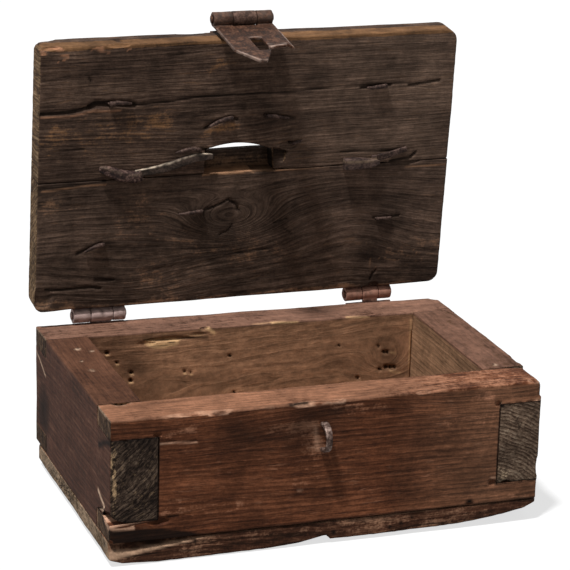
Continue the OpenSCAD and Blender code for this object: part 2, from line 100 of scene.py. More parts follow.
def worn(points, low, high, radius):
    """Rounds the edges over; gives the new points and the way each one faces."""
    radius = radius[:, None]
    core = np.clip(points, np.array(low) + radius, np.array(high) - radius)
    out = points - core
    facing = out / np.maximum(np.linalg.norm(out, axis=1, keepdims=True), 1e-9)
    return core + facing * radius, facing


def planed(points, facing, deep, waves):
    """Sinks a flat surface by about deep, unevenly; waves are (height, length, seed)."""
    uneven = sum(height * ripple(points, size, seed) for height, size, seed in waves)
    return points - facing * (deep + uneven)[:, None]


def chipped(points, chips):
    """Breaks chips out: what is inside an ellipsoid (centre, size) goes onto its skin."""
    lowest, highest = points.min(axis=0), points.max(axis=0)
    for centre, size in chips:
        centre, size = np.array(centre, float), np.array(size, float)
        away = (points - centre) / size
        reach = np.maximum(np.linalg.norm(away, axis=1, keepdims=True), 0.08)
        inside = (reach < 1).ravel()
        points[inside] = np.clip(centre + away / reach * size, lowest, highest)[inside]
    return points


def off_line(points, a, b, line):
    """How far each point is from a line drawn in the plane of the axes a and b."""
    flat = points[:, (a, b)]
    least = np.full(len(points), 1e9)
    for start, end in zip(line, line[1:]):
        start = np.array(start, float)
        run = np.array(end, float) - start
        part = np.clip(((flat - start) @ run) / (run @ run), 0, 1)
        least = np.minimum(least, np.linalg.norm(flat - start - part[:, None] * run, axis=1))
    return least


def near(distance, size):
    """1 on a line and 0 from size away."""
    return np.clip(1 - distance / size, 0, 1)


def strokes(points, a, b, lines, power=1.0):
    """A row for each line (its points, half its width, its strength), strongest in its middle."""
    rows = [strong * near(off_line(points, a, b, line), half) ** power for line, half, strong in lines]
    return np.array(rows)


def drawn(points, a, b, lines, power=1.0):
    """The strongest of these strokes at each point."""
    return strokes(points, a, b, lines, power).max(axis=0)


def most(*layers):
    """The strongest of several marks at each point."""
    return np.maximum.reduce(np.broadcast_arrays(*layers))


def points_of(bm):
    return np.array([v.co for v in bm.verts])


def move(bm, points):
    for vertex, co in zip(bm.verts, points):
        vertex.co = co


def growth(points, along, pith, warp=(), seed=1):
    """The tree's grain at each point: (along it, ring radius, round the rings), in mm.

    pith is the heart's place across the board; a warp is (centre, size, push) in the board's
    two widest directions, and pushes the rings aside as a knot or a bend in the trunk does."""
    across = [axis for axis in range(3) if axis != along]
    from_pith = points[:, across] - np.array(pith)
    radius = np.linalg.norm(from_pith, axis=1)
    stretched = points.copy()
    stretched[:, along] *= 0.22
    radius = radius + 2.2 * ripple(stretched, 24, seed) + 0.7 * ripple(stretched, 7, seed + 1)
    for centre, size, push in warp:
        spot = (points - np.array(centre)) / np.array(size)
        radius = radius + push * np.exp(-(spot**2).sum(axis=1))
    turn = np.arctan2(from_pith[:, 0], from_pith[:, 1]) * 60
    return np.stack([points[:, along], radius, turn], axis=1)


def linear(code):
    """A colour written as sRGB hex, in Blender's linear values."""
    parts = [int(code[i : i + 2], 16) / 255 for i in (1, 3, 5)]
    return tuple(c / 12.92 if c <= 0.04045 else ((c + 0.055) / 1.055) ** 2.4 for c in parts) + (1,)


def put(tree, kind, settings, output=0):
    """Adds a node and gives its output. A setting is a property, an input's value or its link."""
    made = tree.nodes.new("ShaderNode" + kind)
    for name, value in settings.items():
        if name == "stops":
            ramp = made.color_ramp
            for i, (place, code) in enumerate(value):
                stop = ramp.elements[i] if i < 2 else ramp.elements.new(place)
                stop.position = place
                stop.color = linear(code)
        elif isinstance(value, bpy.types.NodeSocket):
            tree.links.new(value, made.inputs[name])
        elif isinstance(name, str) and hasattr(made, name):
            setattr(made, name, value)
        else:
            made.inputs[name].default_value = value
    return made.outputs[output] if made.outputs else made


# Waves in mm along the grain, across the rings and round them, and detail. The fibres of pine
# are finer than the picture shows, so they are drawn 1.3 mm apart.
SAWN_FACE = {
    "wide": ((150, 8, 60), 3),
    "fibres": ((30, 1.3, 12), 4),
    "pores": ((7, 0.9, 5), 2),
    "split": ((60, 2.6, 24), 3),
    "scratch": ((13, 1.1, 8), 3),
}
END_GRAIN = {
    "wide": ((30, 7, 40), 2),
    "fibres": ((2.6, 1.5, 2.6), 3),
    "pores": ((1.4, 0.9, 1.2), 1),
    "split": ((40, 22, 2.4), 3),
    "scratch": ((3, 1.6, 2.2), 2),
}


def old_wood(
    name, colours, worn, pale, clean="#a88468", rough=0.8, ring=3.0, rings=0.5, dust=0.35,
    cracks=0.5, relief=0.5, blotch=0.5, spread=0.09, waves=SAWN_FACE
):
    """Old softwood: fibres, rings that end in a thin dark line, dirt in patches, fine scratches.

    colours run from its dark lines to its light ones; worn is rubbed wood, pale a fresh break and
    clean the wood that no stain or dirt has reached. The marks also paint light and shade: their
    pale part paints highlights on lit lips and ledges, their dark part paints shade in cavities
    and under edges besides cracks and holes, and their worn part paints light on one ledge.
    ring is the distance of the rings in mm; the larger the spread, the more even the wood."""
    material = bpy.data.materials.new(name)
    material.use_nodes = True
    tree = material.node_tree
    tree.nodes.clear()
    grain = put(tree, "Attribute", {"attribute_name": "grain"}, "Vector")
    marks = put(tree, "Attribute", {"attribute_name": "marks"}, "Color")
    clean_at = marks.node.outputs["Alpha"]
    pale_at, dark_at, worn_at = put(tree, "SeparateColor", {0: marks}).node.outputs
    place = put(tree, "TexCoord", {}, "Object")
    seen = {}
    for pattern, (size, detail) in waves.items():
        scale = tuple(1 / length for length in size)
        stretched = put(tree, "Mapping", {0: grain, "Scale": scale})
        noise = {"Vector": stretched, "Scale": 1.0, "Detail": detail, "Roughness": 0.6}
        seen[pattern] = put(tree, "TexNoise", {**noise, "Distortion": 0.2})
    for pattern, size, detail in (("patches", 34, 4), ("spots", 5, 3), ("grit", 1.5, 1)):
        noise = {"Vector": place, "Scale": 1000 / size, "Detail": detail, "Roughness": 0.6}
        seen[pattern] = put(tree, "TexNoise", noise)

    # Rings: each darkens slowly outwards and ends in a thin dark line
    radius = put(tree, "SeparateXYZ", {0: grain}, 1)
    phase = put(tree, "Math", {"operation": "DIVIDE", 0: radius, 1: ring})
    phase = put(tree, "Math", {"operation": "MULTIPLY_ADD", 0: seen["wide"], 1: 1.4, 2: phase})
    phase = put(tree, "Math", {"operation": "FRACT", 0: phase})
    late = put(tree, "MapRange", {0: phase, 1: 0.3, 2: 0.88})
    early = put(tree, "MapRange", {0: phase, 1: 1.0, 2: 0.92})
    late = put(tree, "Math", {"operation": "MULTIPLY", 0: late, 1: early})
    value = 0.0
    shares = (("wide", 0.28), ("fibres", 0.4), ("pores", 0.2), ("grit", 0.12))
    for pattern, share in shares:
        value = put(tree, "Math", {"operation": "MULTIPLY_ADD", 0: seen[pattern], 1: share, 2: value})
    value = put(tree, "Math", {"operation": "MULTIPLY_ADD", 0: late, 1: -0.1 * rings, 2: value})
    stops = [(0.5 - spread, colours[0]), (0.5 + spread, colours[2]), (0.5, colours[1])]
    colour = put(tree, "ValToRGB", {0: value, "stops": stops})
    tone = put(tree, "MapRange", {0: value, 1: 0.49 - spread, 2: 0.49 + spread, 3: 0.55, 4: 1.33})
    tone = put(tree, "CombineColor", {0: tone, 1: tone, 2: tone})

    # Clean wood on inner sides, then worn wood, broken up by the grain and by dirt
    times = {"data_type": "RGBA", "blend_type": "MULTIPLY", 0: 1.0}
    light = put(tree, "Mix", {**times, 6: linear(clean), 7: tone}, 2)
    colour = put(tree, "Mix", {"data_type": "RGBA", 0: clean_at, 6: colour, 7: light}, 2)
    rubbed = worn_at
    for pattern, share in (("fibres", 1.4), ("patches", 1.5), ("spots", 1.1), ("grit", 0.5)):
        around = put(tree, "Math", {"operation": "SUBTRACT", 0: seen[pattern], 1: 0.5})
        rubbed = put(tree, "Math", {"operation": "MULTIPLY_ADD", 0: around, 1: share, 2: rubbed})
    rubbed = put(tree, "MapRange", {0: rubbed, 1: 0.3, 2: 0.7})
    some = put(tree, "MapRange", {0: worn_at, 1: 0.02, 2: 0.12})
    rubbed = put(tree, "Math", {"operation": "MULTIPLY", 0: rubbed, 1: some})
    light = put(tree, "Mix", {**times, 6: linear(worn), 7: tone}, 2)
    colour = put(tree, "Mix", {"data_type": "RGBA", 0: rubbed, 6: colour, 7: light}, 2)

    # Dirt in patches and spots
    dirt = {0: seen["patches"], 1: 0.35, 2: 0.65, 3: 1 - blotch * 0.55, 4: 1 + blotch * 0.4}
    dirt = put(tree, "MapRange", dirt)
    spots = put(tree, "MapRange", {0: seen["spots"], 1: 0.3, 2: 0.7, 3: 0.82, 4: 1.16})
    dirt = put(tree, "Math", {"operation": "MULTIPLY", 0: dirt, 1: spots})
    dirt = put(tree, "CombineColor", {0: dirt, 1: dirt, 2: dirt})
    colour = put(tree, "Mix", {**times, 6: colour, 7: dirt}, 2)

    # Short pale scratches along the grain, hair cracks, fresh breaks and painted highlights, then deep
    # cracks, holes and painted shade
    some = put(tree, "MapRange", {0: seen["patches"], 1: 0.4, 2: 0.58})
    scratches = put(tree, "MapRange", {0: seen["scratch"], 1: 0.60, 2: 0.68, 4: dust})
    scratches = put(tree, "Math", {"operation": "MULTIPLY", 0: scratches, 1: some})
    colour = put(tree, "Mix", {"data_type": "RGBA", 0: scratches, 6: colour, 7: linear(worn)}, 2)
    hair = put(tree, "MapRange", {0: seen["split"], 1: 0.62, 2: 0.66, 4: cracks})
    hair = put(tree, "Math", {"operation": "MULTIPLY", 0: hair, 1: some})
    colour = put(tree, "Mix", {"data_type": "RGBA", 0: hair, 6: colour, 7: linear("#100a07")}, 2)
    light = put(tree, "Mix", {**times, 6: linear(pale), 7: tone}, 2)
    colour = put(tree, "Mix", {"data_type": "RGBA", 0: pale_at, 6: colour, 7: light}, 2)
    colour = put(tree, "Mix", {"data_type": "RGBA", 0: dark_at, 6: colour, 7: linear("#0b0705")}, 2)

    height = 0.0
    for what, share in ((seen["fibres"], 0.7), (seen["pores"], 0.35), (late, 0.1), (hair, -0.5)):
        height = put(tree, "Math", {"operation": "MULTIPLY_ADD", 0: what, 1: share, 2: height})
    bump = put(tree, "Bump", {"Strength": relief, "Distance": 0.0012, "Height": height})
    shader = {"Base Color": colour, "Roughness": rough, "Specular IOR Level": 0.08, "Normal": bump}
    shader = put(tree, "BsdfPrincipled", shader)
    put(tree, "OutputMaterial", {"Surface": shader})
    return material


def finish(name, mesh, materials, node, body, place=None):
    """Stands a finished mesh in its place, hides the solid that it dresses, and says where it rides."""
    if place is not None:
        mesh.transform(place)
    mesh.transform(Matrix.Scale(MM, 4))
    for material in materials:
        mesh.materials.append(material)
    made = bpy.data.objects.new(name, mesh)
    bpy.context.collection.objects.link(made)
    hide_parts(node)
    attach(made, body)


def timber(name, bm, shaped, field, marks, woods, along, body, place=None):
    """Finishes a board: shape, merged corners, grain, marks, and end grain where it shows."""
    move(bm, shaped)
    bmesh.ops.remove_doubles(bm, verts=bm.verts, dist=0.004)
    bmesh.ops.dissolve_degenerate(bm, dist=0.004, edges=bm.edges)
    for face in bm.faces:
        face.smooth = True
        face.material_index = int(abs(face.normal[along]) > 0.75)
    mesh = bpy.data.meshes.new(name)
    bm.to_mesh(mesh)
    bm.free()
    points = np.empty(len(mesh.vertices) * 3)
    mesh.vertices.foreach_get("co", points)
    points = points.reshape(-1, 3)
    grain = mesh.attributes.new("grain", "FLOAT_VECTOR", "POINT")
    grain.data.foreach_set("vector", field(points).astype(np.float32).ravel())
    colour = np.stack(np.broadcast_arrays(*marks(points)), axis=1)
    stored = mesh.attributes.new("marks", "FLOAT_COLOR", "POINT")
    stored.data.foreach_set("color", np.clip(colour, 0, 1).astype(np.float32).ravel())
    finish(name, mesh, woods, name, body, place)


def holes(points, a, b, spots):
    """Dark where a worm or a nail went in; a spot is (a, b, radius)."""
    dark = np.zeros(len(points))
    for x, y, radius in spots:
        away = np.hypot(points[:, a] - x, points[:, b] - y)
        dark = np.maximum(dark, np.clip(1.6 - away / radius, 0, 1))
    return dark


low, high = (LEFT, FRONT + 0.6, 0.0), (RIGHT, BACK, FLOOR_T)
bm = sawn(low, high, {2: (6, 11)}, (1.4, 3.2, 1.3))
points = points_of(bm)
radius = 1.6 + 0.9 * ripple(points, 30, 3)
points, facing = worn(points, low, high, radius)

# The lower front edge, along the board: how high it is worn
SPLIT_X, SPLIT_Z = (-150, -76), (5.0, 15.9)
WORN_X = (-150, -141, -116, -45, -20, -3, -0.5, 2, 12, 73, 104, 128, 142, 150)
WORN_Z = (4.8, 1.4, 0, 0.2, 1.8, 5.4, 5.4, 2.6, 2.3, 2.4, 4.0, 7.0, 10.0, 14.0)
lift = np.interp(points[:, 0], WORN_X, WORN_Z) * np.clip(1 - (points[:, 1] - FRONT) / 34, 0, 1)
lift = np.maximum(lift, 4.2 * np.clip(1 - (points[:, 0] - LEFT) / 9, 0, 1))
squeeze = np.clip((FLOOR_T - points[:, 2]) / FLOOR_T, 0, 1)
points[:, 2] += lift * squeeze
# The split that ran out of the upper edge
split = np.interp(points[:, 0], SPLIT_X, SPLIT_Z)
over = np.clip((points[:, 2] - split) / (FLOOR_T + 0.1 - split), 0, 1)
run_out = np.clip((SPLIT_X[1] - points[:, 0]) / 12, 0, 1)
points[:, 1] = np.maximum(points[:, 1], FRONT + 0.6 + 5.5 * over * run_out)
points = planed(points, facing, 0.25, ((0.25, 12, 5), (0.12, 3, 6)))
points[:, 2] = np.maximum(points[:, 2], 0)


def bottom_marks(points):
    x, y, z = points.T
    split = np.interp(x, SPLIT_X, SPLIT_Z)
    band = np.interp(x, (-150, -136, -89, -80), (7.0, 3.6, 1.0, 0.0))
    above, below = z - split + 1.0, split + band - z
    pale = np.clip(above / 1.2, 0, 1) * np.clip(below / 1.2, 0, 1) * (y < FRONT + 8)
    pale = pale * np.clip(0.75 + 0.8 * ripple(points, (14, 5, 3), 8), 0, 1)
    spots = [(4, 7.5, 1.6), (44, 6.5, 1.2), (52, 9, 1.0), (60, 12, 1.0), (-92, 12, 1.2)]
    dark = holes(points, 0, 2, spots) * (y < FRONT + 2)
    bare = 0.25 + 0.3 * ripple(points, 18, 9) + 0.35 * (x < LEFT + 1.5)
    within = (np.abs(x) < INNER) * (y > FRONT + FRONT_T) * (y < WALL_BACK - BACK_T + 3)
    return pale, dark, bare, 0.75 * (z > FLOOR_T - 1) * within


# Dull red-brown, rubbed grey; the split shows light wood
bottom_wood = old_wood(
    "Old pine, stained red-brown, split edge",
    ("#26170f", "#462b1e", "#6b4a37"),
    worn="#7a5a46",
    pale="#b8957a",
    blotch=0.6,
)
# Rough dusty ends, lighter than the faces
bottom_end = old_wood(
    "Old pine end grain, dusty",
    ("#2b2018", "#55432f", "#8b7358"),
    worn="#84705c",
    pale="#a08468",
    relief=0.8,
    waves=END_GRAIN,
)
timber(
    "bottom_board",
    bm,
    points,
    lambda p: growth(p, 0, (0, -60), seed=11),
    bottom_marks,
    (bottom_wood, bottom_end),
    0,
    "box",
)

# Front board
# A full-length pine board, stained red-brown outside. At each end it is left as a finger above
# and a finger below, between which the end board's wide tenon comes through.
TENON_LOW, TENON_HIGH = 30.0, 87.0
LEFT_TENON = -117.4


def notched(points, left=-INNER):
    """Clears the room for the tenons at both ends of a long board."""
    between = (points[:, 2] > TENON_LOW + 0.01) & (points[:, 2] < TENON_HIGH - 0.01)
    points[between, 0] = np.clip(points[between, 0], left, INNER)
    return points


# Two rows close together keep the step at a joint sharp
JOINT_LINES = (TENON_LOW, TENON_LOW + 0.06, TENON_HIGH - 0.06, TENON_HIGH)
low, high = (LEFT, FRONT, FLOOR_T), (RIGHT, FRONT + FRONT_T, RIM)
bm = sawn(low, high, {0: (-INNER, INNER), 2: JOINT_LINES}, (1.15, 2.6, 1.15))
points = points_of(bm)
radius = 1.3 + 0.7 * ripple(points, 22, 21)
radius += 3.2 * np.clip((points[:, 0] - 132) / 18, 0, 1) * (points[:, 2] > 90)
points, facing = worn(points, low, high, radius)
# A chip is (centre, size) of the ellipsoid that is broken out
FRONT_CHIPS = [
    ((-134.5, -64.5, 102.5), (7.0, 4.2, 4.0)),
    ((-90, -94.8, 102), (26, 3.4, 2.6)),
    ((-78, -96, 101), (9, 4.0, 3.2)),
    ((-14, -97, 101), (16, 4.6, 3.4)),
    ((2, -96.5, 101.5), (9, 3.6, 3.2)),
    ((64, -96.5, 101.5), (7, 3.0, 2.6)),
    ((124, -61.5, 103), (11, 3.4, 3.6)),
    ((148, -94, 102.5), (9, 6, 3.2)),
    ((-151, -96, 16), (5, 4, 4)),
    ((-118.5, -96, 88.5), (3.4, 3.0, 2.4)),
    ((-117, -96.5, 29), (9, 4.4, 3.2)),
    ((118.6, -96, 87.5), (3.0, 3.4, 2.6)),
    ((117, -96, 31), (3.6, 3.0, 3.0)),
    ((101, -96.2, 17.5), (4, 3, 1.4)),
]
points = notched(chipped(points, FRONT_CHIPS), LEFT_TENON)
# The lower left finger, broken open behind its front
FINGER_BREAK = ((-141.0, -90.0, 33.5), (15, 13, 8.5))
points = chipped(points, [FINGER_BREAK])
points = planed(points, facing, 0.22, ((0.2, 26, 23), (0.1, 4, 24)))
# Lines on a face are (its points, half its width, its depth or strength)
SCORES = [
    ([(-112, 83.6), (-92, 82.2)], 0.7, 0.9),
    ([(-120, 31), (-108, 31.5), (-96, 32)], 1.0, 1.4),
    ([(-20, 86), (-38, 84)], 0.6, 0.6),
    ([(6, 82), (22, 81)], 0.6, 0.6),
    ([(4, 60), (16, 59)], 0.6, 0.6),
]
face = facing[:, 1] < -0.9
points[face, 1] += strokes(points[face], 0, 2, SCORES).sum(axis=0)
FRONT_WORN = [
    ([(-16, 80), (-10, 68)], 14, 0.42),
    ([(-42, 85), (-12, 86)], 5, 0.5),
    ([(-118, 87), (-96, 90)], 6, 0.5),
    ([(-112, 36), (-60, 36)], 8, 0.4),
    ([(-24, 45), (-8, 47)], 8, 0.34),
    ([(-2, 96), (40, 92)], 7, 0.42),
    ([(84, 78), (118, 80)], 12, 0.14),
    ([(96, 95), (112, 93)], 5, 0.35),
    ([(-9, 76), (-6, 67.5)], 3.4, 0.9),
    ([(-24, 98), (-16, 64)], 14, 0.3),
    ([(130, 20.4), (148, 17.6)], 1.6, 0.6),
]
FRONT_PALE = [
    ([(-119, 82.4), (-92, 81.4)], 0.8, 0.8),
    ([(116.2, 34.5), (119.8, 34.1)], 1.0, 0.9),
    ([(145.9, 87.5), (149.4, 87.3)], 1.0, 0.9),
    ([(-9, 100), (8, 98.8)], 1.0, 0.9),
]
# Splinters round the staple's root
ROOT_SPLINTERS = [
    ([(-10.6, 82), (-9.4, 68)], 2.6, 0.8),
    ([(-17, 84.6), (-2, 84)], 0.8, 0.5),
    ([(-14, 80), (-4, 79.2)], 0.7, 0.4),
    ([(-17, 69), (-8, 70.2)], 0.8, 0.6),
]
FRONT_DARK = [
    ([(-120, 31), (-104, 31.6)], 1.2, 1.0),
    ([(-66, 84), (-30, 80), (-14, 92), (2, 94)], 22, 0.62),
]


def off_skin(points, centre, size, skin=1.0):
    """How far each point is from an ellipsoid's skin, in parts of its size."""
    away = (points - np.array(centre)) / np.array(size)
    return np.abs(np.linalg.norm(away, axis=1) - skin)


def front_marks(points):
    x, y, z = points.T
    top, face = z > RIM - 1.6, y < FRONT + 1.4
    bare = 0.95 * top * np.interp(x, (20, 110), (1, 0.3))
    bare += face * strokes(points, 0, 2, FRONT_WORN).sum(axis=0)
    rims = [near(off_skin(points, *chip, 0.99), 0.12) for chip in FRONT_CHIPS[:8]]
    # A painted highlight along the front arris, used on its left part
    highlit_arris = near(np.hypot(y - FRONT, z - RIM), 2.6) * np.clip(0.3 + ripple(points, 14, 33), 0, 1)
    # The lower finger: nearly black in front, its broken top pale where it is fresh, and painted shade
    # deep in the cavity behind its front.
    # Below this height the finger's front is nearly black
    black_below = np.interp(x, (-150, -116, -87), (27.0, 25.0, 18.0))
    broken = (off_skin(points, *FINGER_BREAK) < 0.144) & (x < -133.5) & (z < 32)
    shaded_cavity = (y > FRONT + 3.5) & (x > -146)
    streak = np.clip(0.6 + ripple(points, (3, 3, 9), 35), 0, 1)
    # Fine pale dashes along the grain
    dashes = np.clip(4 * ripple(points, (7, 3, 1.5), 36) - 2.3, 0, 1)
    zone = 0.15 + 0.5 * near(np.hypot((x - 105) / 1.4, z - 72), 34)
    zone += 0.6 * near(np.hypot(x + 18, z - 45), 14)
    pale = most(
        most(*rims) * np.clip(0.55 + 0.9 * ripple(points, 5, 31), 0, 1),
        0.5 * highlit_arris * (x < -40),
        face * drawn(points, 0, 2, FRONT_PALE),
        broken * ~shaded_cavity,
        face * streak * drawn(points, 0, 2, ROOT_SPLINTERS),
        0.5 * face * dashes * zone,
    )
    gap = near(off_line(points, 0, 2, [(-29, 100.4), (-17, 100)]), 2.2) * (y < FRONT + 3)
    seam = near(np.abs(x - LEFT_TENON), 0.9) + near(np.abs(x - INNER), 0.9)
    dark = most(
        0.9 * face * np.clip((black_below - z) / 1.6, 0, 1) * np.clip((-84 - x) / 8, 0, 1),
        # Painted shade deep in the finger's broken cavity
        0.95 * broken * shaded_cavity,
        gap * np.clip(1.3 + 1.2 * ripple(points, 3, 34), 0, 1),
        face * near(np.abs(z - TENON_HIGH), 1.3) * (x < LEFT_TENON + 1),
        face * (z > TENON_LOW - 1) * (z < TENON_HIGH + 1) * seam,
        face * drawn(points, 0, 2, FRONT_DARK),
        # Painted shade along the lower edge, where it overhangs the bottom board
        0.85 * face * near(z - FLOOR_T, 1.6),
        face * holes(points, 0, 2, [(-2, 80, 0.9), (101, 18.6, 2.0)]),
    )
    clean = np.maximum(y > FRONT + FRONT_T - 1.5, face * np.interp(x, (40, 110), (0, 0.4)))
    return pale, dark, bare, clean * (z < RIM - 1.6)


# Warm red-brown with a faint sheen and many fine pale scratches
front_wood = old_wood(
    "Old pine, stained red-brown",
    ("#3b2014", "#5e3723", "#7f4f36"),
    worn="#8a6049",
    pale="#cca084",
    clean="#7f5f49",
    rough=0.7,
    dust=0.55,
    blotch=0.6,
    relief=0.45,
    rings=0.7,
    ring=2.6,
    spread=0.12,
)
# Grey ends, a little rough
front_end = old_wood(
    "Old pine end grain, grey",
    ("#261b14", "#483628", "#75604c"),
    worn="#7b6654",
    pale="#b08c74",
    relief=0.9,
    waves=END_GRAIN,
)
timber(
    "front_board",
    bm,
    points,
    lambda p: growth(p, 0, (60, -120), seed=12),
    front_marks,
    (front_wood, front_end),
    0,
    "box",
)

# Back board
# The same board without outside stain on its inner face, dusty brown inside, with worm holes
# and a long splinter torn out below its rim.
low, high = (LEFT, WALL_BACK - BACK_T, FLOOR_T), (RIGHT, WALL_BACK, RIM)
bm = sawn(low, high, {0: (-INNER, INNER), 2: JOINT_LINES}, (1.2, 2.6, 1.2))
points = points_of(bm)
radius = 1.4 + 0.8 * ripple(points, 22, 41)
points, facing = worn(points, low, high, radius)
BACK_CHIPS = [
    ((-62, 67.2, 94.3), (20, 3.0, 1.5)),
    ((-78, 67.3, 92.2), (9, 2.6, 1.3)),
    ((-40, 67.2, 96.0), (10, 2.2, 0.9)),
    ((-36, 67.0, 100.8), (4, 3.4, 2.6)),
    ((8, 67.4, 101.6), (14, 2.6, 1.6)),
    ((52, 67.6, 101.8), (9, 2.4, 1.6)),
    ((123, 69.5, 101.6), (3.0, 2.2, 2.6)),
    ((151, 99, 103), (9, 9, 4)),
]
points = notched(chipped(points, BACK_CHIPS))
points = planed(points, facing, 0.22, ((0.2, 26, 43), (0.1, 4, 44)))
# The back wall isn't quite square to the sides
points[:, 1] += ASKEW * points[:, 0]
# Worm holes: across, up, radius
BACK_HOLES = [
    (-106.5, 87.2, 1.0), (-99.3, 79.6, 0.7), (-88.8, 71.3, 1.0), (-89.1, 65.4, 1.1), (-49.9, 69.3, 0.7),
    (-45.5, 68.2, 0.5), (-17, 78.3, 0.8), (-13.4, 50.8, 0.7), (65, 79.6, 0.6), (94.7, 76.7, 0.6),
    (99.3, 72.1, 1.0), (101.6, 71.8, 0.9), (96.5, 58.9, 0.8), (101.4, 60.4, 1.3), (104.6, 60.0, 1.2),
    (107.6, 60.0, 1.0), (79.9, 53.8, 0.8),
]
face = facing[:, 1] < -0.9
points[face, 1] += 2.5 * holes(points[face], 0, 2, BACK_HOLES)
BACK_PALE = [
    ([(-77, 93), (-73, 91), (-66, 90.2), (-57, 92.2)], 3.2, 1.0),
    ([(-33, 99.6), (-29, 96.4)], 1.6, 0.9),
    ([(13.6, 100.4), (33, 99.8)], 0.8, 0.7),
    ([(70, 100.2), (86, 99.6)], 0.8, 0.6),
    ([(104.5, 71.4), (107.4, 70.6)], 1.2, 0.6),
    ([(104, 57.6), (107, 56.2), (112, 55.6)], 0.9, 0.6),
    ([(119, 95), (119.2, 60)], 1.3, 0.5),
]
# The light catches the lower lips of the larger worm holes
BACK_PALE += [([(a - 0.6, c - 1.7), (a + 0.9, c - 1.6)], 0.9, 0.6) for a, c, _ in BACK_HOLES[:6]]
BACK_DARK = [
    ([(-80, 95.4), (-55.4, 94.6), (-34.2, 93.4)], 1.3, 1.0),
    ([(-62, 91.6), (-58, 91.4)], 1.2, 1.0),
    ([(-88, 76), (-82, 73)], 11, 0.5),
    ([(100, 74), (108, 60)], 12, 0.4),
    ([(-40, 99), (40, 99.4)], 1.0, 0.5),
]


def back_marks(points):
    x, y, z = points.T
    square = points - np.outer(ASKEW * x, (0, 1, 0))
    face = square[:, 1] < WALL_BACK - BACK_T + 3
    bare = 0.85 * (z > RIM - 1.6)
    rims = most(*(near(off_skin(square, *chip, 0.99), 0.14) for chip in BACK_CHIPS))
    rims = rims * np.clip(0.3 + 0.9 * ripple(points, (14, 5, 3), 45), 0, 0.9)
    pale = face * most(rims, drawn(points, 0, 2, BACK_PALE, 0.6))
    dark = face * most(holes(points, 0, 2, BACK_HOLES), drawn(points, 0, 2, BACK_DARK))
    inside = face * (z < RIM - 1.6) * (np.abs(x) < INNER + 0.5)
    return pale, dark, bare, inside * np.interp(x, (-120, -96, -60), (0.3, 0.6, 1.0))


# Clean light brown inside, its torn splinter nearly golden
back_wood = old_wood(
    "Old pine, stained outside, clean and dusty inside",
    ("#2f1c14", "#513426", "#725341"),
    worn="#7b5a4a",
    pale="#e2b786",
    clean="#956f54",
    blotch=0.4,
    relief=0.4,
    rings=0.5,
    ring=2.4,
    spread=0.11,
)
timber(
    "back_board",
    bm,
    points,
    lambda p: growth(p, 0, (-80, 30), (((102, 66, 66), (16, 40, 12), 7),), seed=13),
    back_marks,
    (back_wood, front_end),
    0,
    "box",
)

# End boards
# Short boards between the long ones, each with one wide tenon through the front and through the
# back board, so that its end grain shows in the front. The left tenon's lower corner has broken.


def tenoned(points):
    """Leaves the tenons: above and below them the board stops at the long boards."""
    outside = (points[:, 2] < TENON_LOW - 0.01) | (points[:, 2] > TENON_HIGH + 0.01)
    points[outside, 1] = np.clip(points[outside, 1], FRONT + FRONT_T, WALL_BACK - BACK_T)
    return points


END_CHIPS = {
    -1: [((-140.0, -98.0, 88.0), (3.0, 5, 2.0))],
    1: [
        ((127.0, -96.5, 27.5), (6, 6, 4.4)),
        ((139.0, -96.5, 27.0), (6, 6, 4.0)),
        ((151.5, -96.0, 40.0), (3.0, 8, 9)),
        ((151.0, -50.0, 102.0), (3.4, 10, 2.4)),
    ],
}
END_LINES = (TENON_LOW - 0.06, TENON_LOW, TENON_HIGH, TENON_HIGH + 0.06)
END_STOPS = {1: (FRONT + FRONT_T, WALL_BACK - BACK_T), 2: END_LINES}
# Marks on the left board: along and up its outer face, and on the tip of its tenon
LEFT_DARK = [
    ([(90, 33), (80, 36), (69, 43)], 1.6, 1.0),
    ([(99, 97), (80, 92)], 1.1, 0.7),
    ([(98, 92), (74, 86)], 1.1, 0.7),
    ([(70, 98), (60, 93)], 1.1, 0.7),
]
UNDER_FINGER = [([(-95, 86.4), (-80, 81), (-67, 74.6)], 3.0, 1.0)]
LEFT_SEAMS = [([(-66, 43), (-74, 40), (-82.5, 37), (-88, 32), (-93, 27)], 1.7, 1.0)]
REAR_SEAM = [([(100, 83.3), (90, 80.4), (73.6, 73.5)], 1.3, 0.9)]
TENON_CRACK = [([(-141.3, 87), (-139, 83), (-137.5, 79.7)], 0.9, 1.0)]
# The ragged lower corner of the right tenon
TENON_RAGGED = [([(121, 32.4), (127, 31.2), (133.7, 30)], 1.8, 1.0)]
# Small chips in the rim: across, back, radius
RIM_CHIPS = {
    -1: [(-134, 46, 1.8), (-126, 40, 1.4), (-136, 2.4, 1.9), (-138, 22, 1.0)],
    1: [(131, -56, 2.6)],
}


